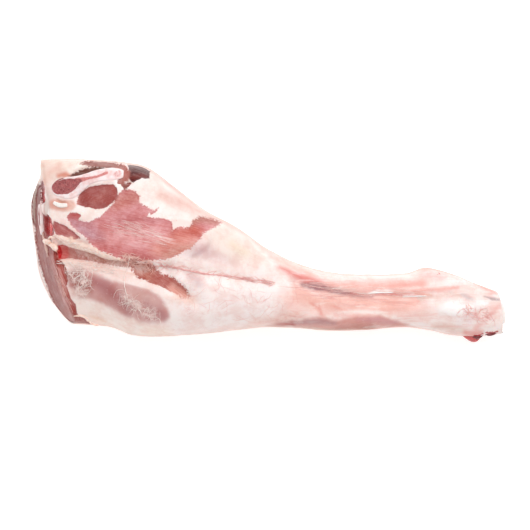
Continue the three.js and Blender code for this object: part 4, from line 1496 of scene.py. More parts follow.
@dataclass
class Skin:
    """The leg's whole outer surface, as one closed mesh."""

    form: LegForm
    tissues: TissueMap = field(default_factory=TissueMap)
    thigh_step: float = 0.85
    shank_step: float = 1.25
    thigh_end: float = -62.0
    top_steps: int = 136
    low_steps: int = 46
    cap_rings: int = 54
    hock_rings: int = 16
    lump: float = 0.55
    ripple: float = 0.16
    # painted_side_shade is a tan painted shade for the sides and base, set by how far they face away from
    # up.
    painted_side_shade: str = "#e4c3b6"
    side_rosy: str = "#f3cfc6"
    side_ivory: str = "#f6e6d6"
    side_meat: str = "#d9a5a0"

    def stations(self) -> Array:
        """Places of the rings, closer on the thigh and closest at the cuts.

        Returns:
            Places along the leg.
        """
        left, right = self.form.left, self.form.right
        rim = np.array([0, 0.12, 0.4])
        thigh = np.arange(left + self.form.rim_radius, self.thigh_end, self.thigh_step)
        shank = np.arange(self.thigh_end, right - self.form.rim_radius, self.shank_step)
        return np.concatenate([left + rim, thigh, shank, right - rim[::-1]])

    def cap(self, rim: Array, rings: int, cut: object) -> Array:
        """Rings that close a cut end, from the rim to its middle.

        Args:
            rim: Rows of x, y, z of the end's rim.
            rings: How many steps to the middle.
            cut: The cut's x for given y and z.

        Returns:
            The rings.
        """
        centre = rim.mean(axis=0)
        shares = np.linspace(1, 0, rings + 1)[1:-1]
        made = []
        for share in shares:
            y = centre[1] + (rim[:, 1] - centre[1]) * share
            z = centre[2] + (rim[:, 2] - centre[2]) * share
            made.append(np.stack([cut(y, z), y, z], axis=1))
        return np.array(made)

    def build(self) -> Piece:
        """Builds the skin, paints it and joins it to the frame.

        Returns:
            The skin.
        """
        form = self.form
        rings = np.array([form.ring(s, self.top_steps, self.low_steps) for s in self.stations()])
        loin = self.cap(rings[0], self.cap_rings, form.loin_cut)[::-1]
        hock = self.cap(rings[-1], self.hock_rings, form.hock_cut)
        grid = np.concatenate([loin, rings, hock])
        rows, columns, _ = grid.shape
        normals = self.normals(grid)
        flat, outward = grid.reshape(-1, 3), normals.reshape(-1, 3)
        on_loin = np.zeros((rows, columns))
        on_loin[: len(loin) + 3] = 1
        facing = np.maximum(smooth(0.02, 0.2, outward[:, 2]), on_loin.ravel() * smooth(4, 9, flat[:, 2]))
        paint = self.tissues.paint(flat, facing)
        self.dress_sides(flat, outward, on_loin.ravel(), paint)
        flat = flat + outward * (paint.lift + self.roughness(flat, paint))[:, None]
        flat[:, 2] = np.maximum(flat[:, 2], 0)
        points, faces = self.close(flat, rows, columns)
        skin = make_piece("leg_meat_skin", points, faces, FleshFinish().build())
        extend = np.r_[np.arange(len(flat)), 0, len(flat) - columns]
        give_colour(skin, "cover", paint.cover[extend])
        give_colour(skin, "lean_tint", paint.lean_tint[extend])
        give(skin, "grain", paint.grain[extend])
        for name in ("lean", "blood", "web", "sheen", "fibre", "streak"):
            give(skin, name, getattr(paint, name)[extend])
        ride(skin, Slot.MEAT, "leg_meat")
        return skin

    def normals(self, grid: Array) -> Array:
        """Outward direction at each corner of the skin.

        Args:
            grid: Corners, ring after ring.

        Returns:
            Unit vectors.
        """
        along = np.gradient(grid, axis=0)
        round_ = np.roll(grid, -1, axis=1) - np.roll(grid, 1, axis=1)
        normals = np.cross(round_, along)
        length = np.linalg.norm(normals, axis=2, keepdims=True)
        return normals / np.maximum(length, 1e-9)

    def roughness(self, flat: Array, paint: Paint) -> Array:
        """Fine lumps of fat and ripples of meat.

        Args:
            flat: Rows of x, y, z.
            paint: The attributes.

        Returns:
            How far each row moves out.
        """
        lumps = self.lump * Grit(3).fractal(flat, 17, 3)
        ripples = self.ripple * Grit(4).fractal(paint.grain * np.array([0.25, 1.6, 1.0]), 5, 2)
        bare = smooth(-1, 1, paint.lean)
        return lumps * (1 - 0.6 * bare) + ripples * (0.4 + bare)

    def dress_sides(self, flat: Array, outward: Array, on_loin: Array, paint: Paint) -> None:
        """Tints the fat cover of the sides and base, where the inner face's tissues don't reach, and paints
        shade on it.

        Args:
            flat: Rows of x, y, z.
            outward: Outward direction of each row.
            on_loin: Whether each row is on the loin cut.
            paint: The attributes, changed in place.
        """
        side = (1 - smooth(0.05, 0.45, outward[:, 2])) * (1 - on_loin)
        # Painted shade: the tan tint darkens every part that faces sideways or down.
        paint.cover = blend(paint.cover, self.painted_side_shade, side * 0.8)
        bands = Grit(21).fractal(flat * np.array([0.5, 1, 1]), 34, 3)
        paint.cover = blend(paint.cover, self.side_rosy, smooth(0.05, 0.6, bands) * side * 0.7)
        paint.cover = blend(paint.cover, self.side_ivory, smooth(0.1, 0.7, -bands) * side * 0.7)
        show = smooth(0.25, 0.7, Grit(22).fractal(flat, 52, 3))
        paint.cover = blend(paint.cover, self.side_meat, show * side * 0.55)

    def close(self, flat: Array, rows: int, columns: int) -> tuple[Array, list[tuple[int, ...]]]:
        """Adds a pole at each end of the grid.

        Args:
            flat: Rows of x, y, z, ring after ring.
            rows: How many rings.
            columns: How many corners in a ring.

        Returns:
            All corners, and the corner numbers of each face.
        """
        first, last = flat[:columns].mean(axis=0), flat[-columns:].mean(axis=0)
        points = np.vstack([flat, first, last])
        faces = grid_faces(rows, columns, closed=True)
        start, pole, end = (rows - 1) * columns, len(flat), len(flat) + 1
        for c in range(columns):
            d = (c + 1) % columns
            faces.append((pole, d, c))
            faces.append((end, start + c, start + d))
        return points, faces


# --------------------------------------------------------------------------- bones


@dataclass(frozen=True)
class BoneBand:
    """A sawn bone: a rounded band sunk into a face, with its own marrow where it has any."""

    name: str
    node: str
    face: Face
    line: tuple[Point, ...]
    half: tuple[float, ...]
    depth: float
    roundness: float
    slot: Slot
    proud: float = 0.8
    shoulder: float = 1.2
    dish: float = 0.0
    rough: float = 0.12
    marrow: Strand | None = None
    hollow: Strand | None = None
    blush: Strand | None = None
    steps: int = 90
    across: int = 27
    end: float = 0.985

    def build(self, form: LegForm, finish: Material) -> Piece:
        """Builds the bone and joins it to the frame.

        Args:
            form: The leg's form, for the face that the bone lies in.
            finish: The bone's material.

        Returns:
            The bone.
        """
        widths = SmoothCurve(np.linspace(0, 1, len(self.half)), self.half)
        run = -np.cos(np.linspace(0, np.pi, self.steps)) * self.end
        t = (run + 1) / 2
        ahead = through(self.line, t + 1e-3) - through(self.line, t - 1e-3)
        du, dv = ahead.T / np.linalg.norm(ahead, axis=1)
        width = widths(t) * (1 - np.abs(run) ** self.roundness) ** (1 / self.roundness)
        side = np.sin(np.linspace(-np.pi / 2, np.pi / 2, self.across))
        lanes = np.concatenate([side, side[::-1]])
        out = np.concatenate([np.ones(self.across), -np.ones(self.across)])
        middle = through(self.line, t)
        u = middle[:, :1] - (dv * width)[:, None] * lanes
        v = middle[:, 1:] + (du * width)[:, None] * lanes
        inset = (1 - np.abs(lanes)) * width[:, None]
        round_off = np.clip(1 - inset / self.shoulder, 0, 1) ** 2 * self.shoulder * 0.6
        bumps = self.rough * Grit(31).fractal(np.stack([u.ravel(), v.ravel(), v.ravel() * 0], 1), 2.5, 3)
        top = self.proud - round_off + bumps.reshape(u.shape) - self.dish * smooth(0.5, 3.0, inset)
        if self.hollow:
            top -= 3 * smooth(-0.2, 1.2, self.hollow.depth(u.ravel(), v.ravel())).reshape(u.shape)
        lift = np.where(out > 0, top, -self.depth)
        points = form.on_face(self.face, u.ravel(), v.ravel(), lift.ravel())
        piece = make_solid(self.name, points, self.steps, finish)
        depth = np.full(len(points), -8.0)
        if self.marrow:
            depth = self.marrow.depth(u.ravel(), v.ravel())
        if self.blush:
            depth = np.maximum(depth, np.minimum(self.blush.depth(u.ravel(), v.ravel()), 0.0))
        give(piece, "marrow", depth)
        ride(piece, self.slot, self.node)
        return piece


@dataclass
class Bones:
    """All the sawn bones and joint ends that show."""

    form: LegForm
    sawn: BoneFinish = BoneFinish("sawn bone", "#fbeaea", "#efc9c6", "#dc8a86", 0.4, 0.25)
    gristle: BoneFinish = BoneFinish("cartilage", "#fffaf5", "#f8ece6", "#dc8a86", 0.26, 0.5)
    marrow: MarrowFinish = MarrowFinish()
    bands: tuple[BoneBand, ...] = (
        BoneBand(
            "aitch_bone_cut", "aitch_bone", Face.INNER,
            ((-213, 58), (-204, 59), (-194, 60), (-185, 63.5), (-176, 68), (-165, 71.5), (-152, 73),
             (-140, 73)),
            (6, 9.6, 11, 8.4, 6, 6, 6.7, 6.5), 14, 4, Slot.BONE, proud=1.2, shoulder=1.6,
            marrow=Strand(((-187, 66.5), (-176, 68.6), (-166, 70.5), (-157, 74)), (3, 1.4, 1.1, 1.5)),
            blush=Strand(((-147.6, 72.4), (-145, 74)), (2.6,)),
            hollow=Strand(((-206, 59.7), (-199, 60.8), (-193, 62.6), (-184, 66.4)), (6.4, 7.4, 6.2, 1.8)),
        ),
        BoneBand(
            "aitch_marrow_sponge", "aitch_marrow", Face.INNER,
            ((-212.6, 59.4), (-206, 60), (-199, 61), (-192, 63.2), (-180, 67.6)),
            (6, 8.2, 8.6, 6.8, 2),
            11, 2.5, Slot.MARROW, proud=1.1, dish=0.6, rough=0.35,
        ),
        BoneBand(
            "pubic_bar", "pubic_cartilage", Face.INNER,
            ((-211, 45.6), (-207, 43.4), (-203, 42.4), (-196.5, 42.6)), (1.7, 2.1, 2.2, 2.1), 6, 6,
            Slot.CARTILAGE, proud=1.6, steps=50, across=17,
        ),
        BoneBand(
            "hip_bone_cut", "hip_bone", Face.LOIN,
            ((14, 31), (24, 33), (34, 35), (45, 37)), (3.4, 4.2, 5, 4.6), 16, 2.5, Slot.BONE,
            hollow=Strand(((24, 33), (33, 35), (40, 36)), (1.4, 2.2, 1.8)),
        ),
        BoneBand(
            "hip_marrow_sponge", "hip_marrow", Face.LOIN,
            ((21, 32.4), (27, 33.6), (34, 35), (41, 36.4)), (1.6, 2.4, 2.8, 2.2), 12, 2.5, Slot.MARROW,
            proud=0.9, dish=0.5, rough=0.35,
        ),
        BoneBand(
            "hock_joint", "hock_bone", Face.HOCK,
            ((-76, 18), (-64, 21), (-52, 24)), (9, 10.5, 8.5), 14, 2.5, Slot.CARTILAGE,
            proud=1.4, shoulder=3.5, dish=-0.9,
        ),
    )

    def build(self) -> list[Piece]:
        """Builds every bone.

        Returns:
            The pieces.
        """
        kinds = {Slot.BONE: self.sawn, Slot.MARROW: self.marrow, Slot.CARTILAGE: self.gristle}
        finishes = {slot: finish.build() for slot, finish in kinds.items()}
        return [band.build(self.form, finishes[band.slot]) for band in self.bands]


# --------------------------------------------------------------------------- threads and beads


class GrowthTree(NodeMaker):
    """A Geometry Nodes group under construction."""

    def __init__(self, name: str, inputs: str) -> None:
        """Starts a group with a geometry in and out.

        Args:
            name: The group's name.
            inputs: The other inputs, each as its name, a colon and its type, with spaces between.
        """
        super().__init__(bpy.data.node_groups.new(name, "GeometryNodeTree"))
        face = self.tree.interface
        for way in ("INPUT", "OUTPUT"):
            face.new_socket("Geometry", in_out=way, socket_type="NodeSocketGeometry")
        for item in inputs.split():
            label, kind = item.split(":")
            face.new_socket(label, in_out="INPUT", socket_type="NodeSocket" + kind)
        self.given = self.node("NodeGroupInput").outputs
        self.result = self.node("NodeGroupOutput").inputs["Geometry"]

    def scaled(self, vector: object, by: object) -> Socket:
        """A vector made longer or shorter.

        Args:
            vector: The vector.
            by: The factor.

        Returns:
            The new vector.
        """
        node = self.node("ShaderNodeVectorMath", ("operation", "SCALE"), Scale=by)
        self.put(node.inputs[0], vector)
        return node.outputs[0]

    def end(self, geometry: Socket) -> NodeTree:
        """Ends the group in real geometry that carries the material.

        Args:
            geometry: The geometry.

        Returns:
            The finished group.
        """
        real = self.node("GeometryNodeRealizeInstances", Geometry=geometry).outputs[0]
        dressed = self.node("GeometryNodeSetMaterial", Geometry=real, Material=self.given["Material"])
        self.put(self.result, dressed.outputs[0])
        return self.tree


def thread_tree() -> NodeTree:
    """Makes the group that lays edges on the skin as tapered threads.

    Returns:
        The group.
    """
    inputs = "Skin:Object Spacing:Float Radius:Float Wander:Float Lift:Float Material:Material"
    t = GrowthTree("threads on the skin", inputs)
    curve = t.node("GeometryNodeMeshToCurve", Mesh=t.given["Geometry"])
    spacing = t.given["Spacing"]
    fine = t.node("GeometryNodeResampleCurve", ("mode", "LENGTH"), Curve=curve.outputs[0], Length=spacing)
    place = t.node("GeometryNodeInputPosition").outputs[0]
    noise = t.node("ShaderNodeTexNoise", Vector=place, Scale=260.0, Detail=2.0)
    drift = t.pair("ShaderNodeVectorMath", "SUBTRACT", noise.outputs["Color"], (0.5, 0.5, 0.5))
    strayed = t.scaled(drift, t.given["Wander"])
    moved = t.node("GeometryNodeSetPosition", Geometry=fine.outputs[0], Offset=strayed)
    skin = t.node("GeometryNodeObjectInfo", ("transform_space", "RELATIVE"), Object=t.given["Skin"])
    above = t.pair("ShaderNodeVectorMath", "ADD", place, (0.0, 0.0, 0.2))
    ray = t.node(
        "GeometryNodeRaycast", Target_Geometry=skin.outputs["Geometry"],
        Source_Position=above, Ray_Direction=(0.0, 0.0, -1.0), Ray_Length=0.5,
    )
    sway = t.node("ShaderNodeTexNoise", Vector=place, Scale=140.0, Detail=1.0).outputs[0]
    height = t.math("MULTIPLY", t.given["Lift"], t.math("MULTIPLY", sway, 2.0))
    lift = t.scaled(ray.outputs["Hit Normal"], height)
    landed = t.pair("ShaderNodeVectorMath", "ADD", ray.outputs["Hit Position"], lift)
    laid = t.node(
        "GeometryNodeSetPosition",
        Geometry=moved.outputs[0], Selection=ray.outputs["Is Hit"], Position=landed,
    )
    along = t.node("GeometryNodeSplineParameter").outputs["Factor"]
    hump = t.math("MULTIPLY", t.math("MULTIPLY", along, t.math("SUBTRACT", 1.0, along)), 4.0)
    taper = t.math("ADD", t.math("MULTIPLY", t.math("POWER", hump, 0.5), 0.85), 0.15)
    ring = t.node("GeometryNodeCurvePrimitiveCircle", Resolution=5, Radius=1.0)
    size = t.math("MULTIPLY", taper, t.given["Radius"])
    tube = t.node(
        "GeometryNodeCurveToMesh",
        Curve=laid.outputs[0], Profile_Curve=ring.outputs[0], Scale=size, Fill_Caps=True,
    )
    return t.end(tube.outputs[0])


def bead_tree() -> NodeTree:
    """Makes the group that scatters small beads over a surface.

    Returns:
        The group.
    """
    inputs = "Gap:Float Density:Float Seed:Int Least:Float Most:Float Flat:Float Material:Material"
    t = GrowthTree("beads on a surface", inputs)
    spread = t.node(
        "GeometryNodeDistributePointsOnFaces", ("distribute_method", "POISSON"),
        Mesh=t.given["Geometry"], Seed=t.given["Seed"],
        Distance_Min=t.given["Gap"], Density_Max=t.given["Density"],
    )
    size = t.node(
        "FunctionNodeRandomValue", ("data_type", "FLOAT"),
        Min=t.given["Least"], Max=t.given["Most"], Seed=t.given["Seed"],
    )
    drawn = size.outputs["Value"]
    shape = t.node("ShaderNodeCombineXYZ", X=drawn, Y=drawn, Z=t.math("MULTIPLY", drawn, t.given["Flat"]))
    bead = t.node("GeometryNodeMeshIcoSphere", Radius=1.0, Subdivisions=2)
    placed = t.node(
        "GeometryNodeInstanceOnPoints",
        Points=spread.outputs["Points"], Instance=bead.outputs[0], Scale=shape.outputs[0],
        Rotation=spread.outputs["Rotation"],
    )
    return t.end(placed.outputs[0])


def grow(name: str, source: Piece, group: NodeTree, values: dict[str, object]) -> Piece:
    """Runs a Geometry Nodes group on an object and keeps the result as a plain mesh.

    Args:
        name: Name of the result.
        source: The object that the group starts from.
        group: The group.
        values: The group's inputs by name.

    Returns:
        The grown piece.
    """
    modifier = source.modifiers.new("grow", "NODES")
    modifier.node_group = group
    for item in group.interface.items_tree:
        if item.item_type == "SOCKET" and item.in_out == "INPUT" and item.name in values:
            modifier[item.identifier] = values[item.name]
    evaluated = source.evaluated_get(bpy.context.evaluated_depsgraph_get())
    mesh = bpy.data.meshes.new_from_object(evaluated)
    source.modifiers.remove(modifier)
    mesh.name = name
    mesh.polygons.foreach_set("use_smooth", [True] * len(mesh.polygons))
    piece = bpy.data.objects.new(name, mesh)
    bpy.context.scene.collection.objects.link(piece)
    return piece


@dataclass(frozen=True)
class ThreadSet:
    """Fine threads of one kind: drawn lines, or many that start in a band and wander."""

    name: str
    finish: WetFinish
    radius: float
    area: Strand | None = None
    count: int = 0
    length: float = 10.0
    heading: float = 0.0
    spread: float = 180.0
    curl: float = 14.0
    lines: tuple[tuple[Point, ...], ...] = ()
    wander: float = 0.8
    lift: float = 0.35
    seed: int = 1

    def paths(self) -> list[Array]:
        """The threads in plan.

        Returns:
            Rows of x, y for each thread.
        """
        rng = np.random.default_rng(self.seed)
        made = [self.smoothed(line) for line in self.lines]
        while len(made) < self.count + len(self.lines):
            made.append(self.walk(rng))
        return made

    def smoothed(self, line: tuple[Point, ...]) -> Array:
        """A drawn line with points every few millimetres."""
        return through(line, np.linspace(0, 1, 6 * len(line)))

    def walk(self, rng: np.random.Generator) -> Array:
        """A thread that starts somewhere in the area and turns a little at each step.

        Args:
            rng: The set's random numbers.

        Returns:
            Rows of x, y.
        """
        line = np.array(self.area.points, float)
        t = rng.uniform(0, 1)
        knots = np.linspace(0, 1, len(line))
        middle = np.array([np.interp(t, knots, line[:, 0]), np.interp(t, knots, line[:, 1])])
        wide = np.interp(t, np.linspace(0, 1, len(self.area.half)), self.area.half)
        start = middle + rng.uniform(-0.75, 0.75, 2) * wide
        steps = max(3, int(self.length * rng.uniform(0.5, 1.2) / 1.5))
        turn = self.heading + rng.uniform(-self.spread, self.spread)
        turn = turn + np.cumsum(rng.normal(0, self.curl, steps))
        ways = np.stack([np.cos(np.radians(turn)), np.sin(np.radians(turn))], axis=1) * 1.5
        return start + np.cumsum(ways, axis=0) - ways.sum(axis=0) / 2

    def build(self, skin: Piece, group: NodeTree) -> Piece:
        """Grows the threads on the skin and joins them to the frame.

        Args:
            skin: The skin that they lie on.
            group: The thread group.

        Returns:
            The threads.
        """
        points, edges = [], []
        for path in self.paths():
            first = len(points)
            points += [(x * MM, y * MM, 0.12) for x, y in path]
            edges += [(first + i, first + i + 1) for i in range(len(path) - 1)]
        mesh = bpy.data.meshes.new(self.name + "_paths")
        mesh.from_pydata(points, edges, [])
        source = bpy.data.objects.new(self.name + "_paths", mesh)
        bpy.context.scene.collection.objects.link(source)
        values = {
            "Skin": skin,
            "Spacing": 1.2 * MM,
            "Radius": self.radius * MM,
            "Wander": self.wander * MM,
            "Lift": self.lift * MM,
            "Material": self.finish.build(),
        }
        piece = grow(self.name, source, group, values)
        bpy.data.objects.remove(source)
        ride(piece, Slot.MEAT)
        return piece


@dataclass
class Threads:
    """All the loose and fine threads of the leg."""

    skin: Piece
    white: WetFinish = WetFinish("white thread", "#fdf0ea", "#f3d8cf", 0.4, 0.2, 0.0)
    rosy: WetFinish = WetFinish("rosy thread", "#f6cfc4", "#eeb5a8", 0.4, 0.2, 0.0)
    red: WetFinish = WetFinish("vessel", "#e8a29f", "#f0bdb7", 0.36, 0.2, 0.0)
    # The white "tendon" finish is painted highlight, for the threads laid where light glints on the tendon.
    tendon: WetFinish = WetFinish("tendon", "#ffffff", "#fff6f2", 0.3, 0.4, 0.0)
    pale_red: WetFinish = WetFinish("fine vessel", "#efb4ae", "#f4c8c0", 0.4, 0.2, 0.0)

    def sets(self) -> tuple[ThreadSet, ...]:
        """The sets of threads.

        Returns:
            One for each kind and place.
        """
        vessel = ((-117, -17), (-104, -17.4), (-92, -18), (-75, -22), (-50, -26), (-26, -28.6), (-6, -32),
                  (8, -35.5))
        second = ((-100, -18), (-84, -20.5), (-62, -25), (-40, -26.6), (-20, -30.6), (-2, -34.6), (6, -37))
        third = ((-44, -27), (-30, -30), (-14, -31), (0, -32), (9, -34))
        # Painted highlights: flash and glint are the lines of white threads laid where light glints on the
        # tendon.
        flash = ((103, -44.6), (110, -44), (118, -43.8), (127, -44.2))
        glint = ((136, -47.6), (148, -47.6), (161, -47.4))
        under_flash = ((98, -46), (114, -46.2), (130, -46.6), (146, -46.6), (160, -46.2))
        string = ((-133, -8), (-136, -18), (-139, -30), (-138, -41), (-135, -52), (-137, -60))
        return (
            ThreadSet("vessel_threads", self.red, 0.4, lines=(vessel, second, third), wander=2.2,
                lift=0.4, seed=2),
            ThreadSet("vessel_branches", self.pale_red, 0.22, Strand(vessel, (3.0,)), 46, 14, -8, 26, 12,
                seed=3),
            ThreadSet("web_string", self.white, 0.45, lines=(string,), wander=2.0, lift=0.9, seed=4),
            ThreadSet("quadriceps_web", self.white, 0.22,
                Strand(((-196, -20), (-184, -24), (-176, -32), (-186, -44)), (6, 8, 9, 8)), 44, 17, 0,
                180, 26, seed=5, lift=0.6),
            ThreadSet("knee_side_web", self.white, 0.2,
                Strand(((-142, -46), (-133, -56), (-122, -63), (-108, -69)), (5, 7, 6, 4)), 36, 18, -30,
                70, 22, seed=6, lift=0.5),
            ThreadSet("seam_tangle", self.rosy, 0.26,
                Strand(((-142, -10), (-128, -13), (-112, -19)), (5, 6, 7)), 54, 13, 60, 90, 26, seed=7,
                lift=0.8),
            ThreadSet("strip_frays", self.white, 0.3,
                Strand(((-208, 10), (-196, 6), (-176, -1), (-150, -9)), (3, 3.4, 3.4, 3)), 70, 9, -16, 24,
                8, seed=8),
            ThreadSet("lower_strip_frays", self.white, 0.28,
                Strand(((-206, -13), (-180, -17), (-150, -22)), (3, 3.4, 4)), 60, 10, -8, 30, 8, seed=9),
            ThreadSet("gracilis_sheen", self.white, 0.11,
                Strand(((-150, 22), (-128, 18), (-100, 8)), (9, 10, 8)), 70, 16, -15, 6, 2, seed=10,
                lift=0.12, wander=0.3),
            ThreadSet("loin_streaks", self.rosy, 0.2,
                Strand(((-210, -18), (-203, -40), (-196, -60)), (4, 5, 4)), 26, 16, -66, 8, 3, seed=11,
                lift=0.15),
            ThreadSet("shank_streaks", self.pale_red, 0.16,
                Strand(((30, -40), (80, -48), (150, -50)), (10, 12, 12)), 60, 30, -4, 4, 2, seed=12,
                lift=0.1, wander=0.3),
            ThreadSet("shank_tendons", self.white, 0.16,
                Strand(((40, -34), (90, -42), (150, -44)), (6, 6, 6)), 20, 34, -5, 4, 2, seed=13,
                lift=0.15, wander=0.3),
            ThreadSet("tendon_flash", self.tendon, 0.75, lines=(flash, glint), wander=0.3, lift=0.15,
                seed=16),
            ThreadSet("tendon_vessel", self.red, 0.4, lines=(under_flash,), wander=0.6, lift=0.1,
                seed=17),
            ThreadSet("hock_vessels", self.pale_red, 0.2,
                Strand(((190, -60), (208, -66), (224, -68)), (7, 9, 6)), 40, 14, -20, 70, 18, seed=14),
            ThreadSet("fat_vessels", self.pale_red, 0.14,
                Strand(((-80, -40), (-30, -56), (40, -60)), (20, 24, 18)), 46, 18, -10, 60, 14, seed=15,
                lift=0.08),
        )

    def build(self) -> list[Piece]:
        """Grows every set."""
        group = thread_tree()
        return [threads.build(self.skin, group) for threads in self.sets()]


@dataclass(frozen=True)
class BeadSet:
    """Small beads scattered over the top of a piece."""

    name: str
    on: str
    finish: WetFinish
    slot: Slot
    gap: float
    density: float
    least: float
    most: float
    flat: float = 0.5
    seed: int = 1

    def build(self, group: NodeTree) -> Piece:
        """Scatters the beads and joins them to the frame.

        Args:
            group: The bead group.

        Returns:
            The beads.
        """
        host = bpy.data.objects[self.on]
        values = {
            "Gap": self.gap * MM,
            "Density": self.density / MM**2,
            "Seed": self.seed,
            "Least": self.least * MM,
            "Most": self.most * MM,
            "Flat": self.flat,
            "Material": self.finish.build(),
        }
        piece = grow(self.name, host, group, values)
        ride(piece, self.slot)
        return piece


@dataclass(frozen=True)
class Morsel:
    """A small lumpy strip of soft tissue along a path: a clot, a torn tag or a knob of fat."""

    name: str
    finish: WetFinish
    path: tuple[tuple[float, float, float], ...]
    radius: tuple[float, ...]
    flat: float = 0.8
    lumps: float = 0.3
    seed: int = 1
    steps: int = 26
    around: int = 16

    def build(self) -> Piece:
        """Builds the strip and joins it to the frame.

        Returns:
            The strip.
        """
        wide = SmoothCurve(np.linspace(0, 1, len(self.radius)), self.radius)
        t = (1 - np.cos(np.linspace(0, np.pi, self.steps))) / 2
        spine = through(self.path, t)
        ahead = through(self.path, t + 1e-3) - through(self.path, t - 1e-3)
        ahead /= np.linalg.norm(ahead, axis=1)[:, None]
        side = np.cross(ahead, np.array([0.0, 0.0, 1.0]))
        side /= np.maximum(np.linalg.norm(side, axis=1), 1e-6)[:, None]
        up = np.cross(side, ahead)
        size = wide(t) * np.sqrt(np.clip(1 - (2 * t - 1) ** 8, 0, 1)) + 0.02
        angle = np.linspace(0, 2 * np.pi, self.around, endpoint=False)
        ring = side[:, None] * np.cos(angle)[:, None] + up[:, None] * (np.sin(angle) * self.flat)[:, None]
        points = (spine[:, None] + ring * size[:, None, None]).reshape(-1, 3)
        points += self.lumps * Grit(self.seed).fractal(points, 3.5, 3)[:, None] * ring.reshape(-1, 3)
        points[:, 2] = np.maximum(points[:, 2], 0.2)
        piece = make_solid(self.name, points, self.steps, self.finish.build())
        ride(piece, Slot.MEAT)
        return piece


@dataclass(frozen=True)
class Sheet:
    """A thin torn sheet of membrane between two edges."""

    name: str
    finish: WetFinish
    near: tuple[tuple[float, float, float], ...]
    far: tuple[tuple[float, float, float], ...]
    thick: float = 0.8
    crumple: float = 0.8
    seed: int = 1
    long_steps: int = 26
    cross_steps: int = 14

    def build(self) -> Piece:
        """Builds the sheet and joins it to the frame.

        Returns:
            The sheet.
        """
        t = np.linspace(0, 1, self.long_steps)
        share = np.linspace(0, 1, self.cross_steps)[None, :, None]
        grid = through(self.near, t)[:, None] * (1 - share) + through(self.far, t)[:, None] * share
        normal = np.cross(np.gradient(grid, axis=0), np.gradient(grid, axis=1))
        normal /= np.maximum(np.linalg.norm(normal, axis=2, keepdims=True), 1e-6)
        wave = Grit(self.seed).fractal(grid.reshape(-1, 3) * np.array([1.0, 1.0, 0.4]), 6, 3)
        grid = grid + normal * (self.crumple * wave).reshape(*grid.shape[:2], 1)
        half = normal * self.thick / 2
        around = np.concatenate([grid + half, (grid - half)[:, ::-1]], axis=1)
        piece = make_solid(self.name, around.reshape(-1, 3), self.long_steps, self.finish.build())
        ride(piece, Slot.MEAT)
        return piece


@dataclass
class Trimmings:
    """Clots, torn tags and knobs of fat at the cuts."""

    clot: WetFinish = WetFinish("dark clot", "#8c3a3c", "#6f2429", 0.3, 0.5)
    raw: WetFinish = WetFinish("raw tag", "#e06c6a", "#c44e50", 0.32, 0.45)
    fat: WetFinish = WetFinish("fat knob", "#f9dfd2", "#f1c9b8", 0.4, 0.3)
    veil: WetFinish = WetFinish("torn membrane", "#f0dedd", "#cbbab9", 0.32, 0.35, alpha=0.92, scale=150)
    pore: WetFinish = WetFinish("blood pore", "#7a252b", "#5c161c", 0.25, 0.5)
    strut: WetFinish = WetFinish("bone strut", "#dba19b", "#c9807c", 0.4, 0.3)

    def build(self) -> list[Piece]:
        """Builds every trimming.

        Returns:
            The pieces.
        """
        group = bead_tree()
        beads = (
            BeadSet("marrow_pores", "aitch_marrow_sponge", self.pore, Slot.MARROW, 1.5, 0.12, 0.18, 0.5,
                0.35, 3),
            BeadSet("marrow_struts", "aitch_marrow_sponge", self.strut, Slot.MARROW, 0.9, 0.5, 0.12, 0.3,
                0.6, 4),
            BeadSet("hip_marrow_pores", "hip_marrow_sponge", self.pore, Slot.MARROW, 1.3, 0.12, 0.18, 0.4,
                0.35, 5),
        )
        morsels = (
            Morsel("hock_raw_tag", self.raw,
                ((195, -82.6, 27), (204, -88, 25), (211, -91.4, 22), (218, -87.6, 23)),
                (2.6, 3.8, 3.4, 1.4), 0.9, 0.5, 41),
            Morsel("hock_tag_clot", self.clot, ((209, -88.6, 27), (213.6, -89.6, 27), (219, -87.6, 26)),
                (1.0, 1.8, 1), 0.8, 0.4, 42),
            Morsel("hock_end_clot", self.clot, ((220, -85.6, 30), (226, -86.4, 30), (233, -84.8, 27)),
                (1.0, 1.9, 1.1), 0.8, 0.5, 43),
            Morsel("fat_knob_a", self.fat, ((-222, 8, 62), (-217, 6.4, 71), (-213.6, 6.6, 75)),
                (1.6, 2.7, 1.8), 0.9, 0.5, 44),
            Morsel("fat_knob_b", self.fat, ((-215, 5, 71), (-210, 2, 77), (-206.6, -2, 79)),
                (1.4, 2.9, 2.2), 0.9, 0.5, 45),
            Morsel("fat_knob_c", self.fat, ((-216, 9.6, 72), (-213, 11, 77), (-210, 10, 80)),
                (0.8, 1.3, 0.9), 0.9, 0.3, 46),
            Morsel("pit_thread", self.raw, ((-214, 25, 70), (-212.6, 20, 74), (-213.4, 13, 73)),
                (0.5, 1.2, 0.7), 0.9, 0.3, 47),
            Morsel("low_fat_hook", self.fat, ((-192, -67.4, 62), (-184, -67, 66), (-176, -71, 63)),
                (0.4, 1.1, 0.6), 0.8, 0.25, 48),
            Morsel("low_fat_curl", self.fat, ((-178, -72, 60), (-172, -76, 56), (-166, -76.4, 55)),
                (0.5, 1.0, 0.5), 0.8, 0.25, 49),
        )
        sheets = (
            Sheet("hock_membrane", self.veil,
                ((230, -58, 38), (228, -67, 40), (224, -76, 38), (222, -84, 30)),
                ((233.4, -56, 31), (235, -66, 27), (237, -76, 22), (240.4, -86, 16)), seed=51),
        )
        pieces = [bead.build(group) for bead in beads]
        pieces += [morsel.build() for morsel in morsels]
        return pieces + [sheet.build() for sheet in sheets]


# --------------------------------------------------------------------------- studio


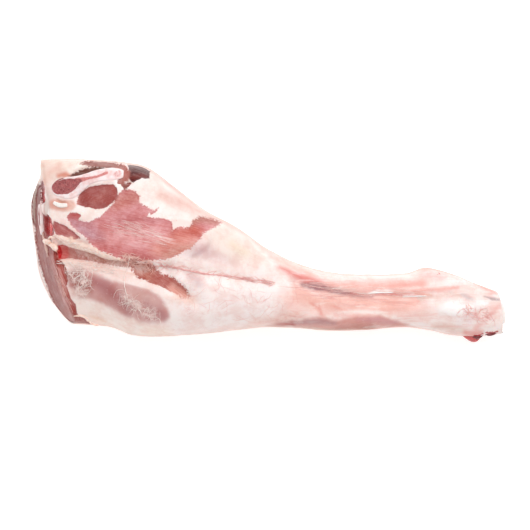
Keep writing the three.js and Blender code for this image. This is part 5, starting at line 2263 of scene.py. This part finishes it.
@dataclass(frozen=True)
class Studio:
    """Pale table, soft light and a camera straight above."""

    eye: tuple[float, float, float] = (-0.0015, -0.0165, 2.0375)
    lens: float = 135
    floor_reach: float = 6.0
    table_glow: float = 0.4
    sky: float = 0.555
    key: float = 18.0
    fill: float = 6.0

    def build(self) -> None:
        """Makes the floor, the lights and the camera."""
        scene = bpy.context.scene
        scene.view_settings.view_transform = "Standard"
        self.build_floor()
        world = bpy.data.worlds.new("studio")
        world.use_nodes = True
        world.node_tree.nodes["Background"].inputs["Color"].default_value = (1, 0.995, 0.99, 1)
        world.node_tree.nodes["Background"].inputs["Strength"].default_value = self.sky
        scene.world = world
        self.lamp("key", (0.3, 0.9, 1.6), 1.1, self.key)
        self.lamp("fill", (-0.5, -0.5, 1.9), 1.8, self.fill)
        camera_data = bpy.data.cameras.new("camera")
        camera_data.lens = self.lens
        camera = bpy.data.objects.new("camera", camera_data)
        camera.location = self.eye
        scene.collection.objects.link(camera)
        scene.camera = camera

    def build_floor(self) -> None:
        """Makes a plain pale table top."""
        reach = self.floor_reach / MM / 2
        corners = np.array([[-1, -1, 0], [1, -1, 0], [1, 1, 0], [-1, 1, 0]]) * reach
        s = Shader("table")
        grain = s.noise(s.place, 40, 3)
        colour = s.mix(s.step(grain, 0.3, 0.7), "#fdfdfd", "#fafafa")
        rough, normal = s.step(grain, 0.3, 0.7, 0.7, 0.8), s.bump(grain, 0.05, 0.2)
        glow = {"Emission Color": "#ffffff", "Emission Strength": self.table_glow}
        finish = s.finish(colour, rough, normal, Specular_IOR_Level=0.2, **glow)
        floor = make_piece("table_top", corners, [(0, 1, 2, 3)], finish)

    def lamp(self, name: str, place: tuple[float, float, float], size: float, power: float) -> None:
        """Adds a large soft lamp that looks at the leg.

        Args:
            name: The lamp's name.
            place: Where it hangs, in metres.
            size: Its width in metres.
            power: Its power in watts.
        """
        data = bpy.data.lights.new(name, "AREA")
        data.size = size
        data.energy = power
        lamp = bpy.data.objects.new(name, data)
        lamp.location = place
        aim = -np.array(place)
        tilt, turn = math.atan2(math.hypot(aim[0], aim[1]), -aim[2]), math.atan2(aim[0], -aim[1])
        lamp.rotation_euler = (tilt, 0, turn + math.pi)
        bpy.context.scene.collection.objects.link(lamp)


def main() -> None:
    """Builds the leg on its table."""
    logging.basicConfig(level=logging.INFO, format="%(name)s: %(message)s")
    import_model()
    form = LegForm()
    Studio().build()
    skin = Skin(form).build()
    Bones(form).build()
    Threads(skin).build()
    Trimmings().build()
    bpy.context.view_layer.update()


if __name__ == "__main__":
    main()
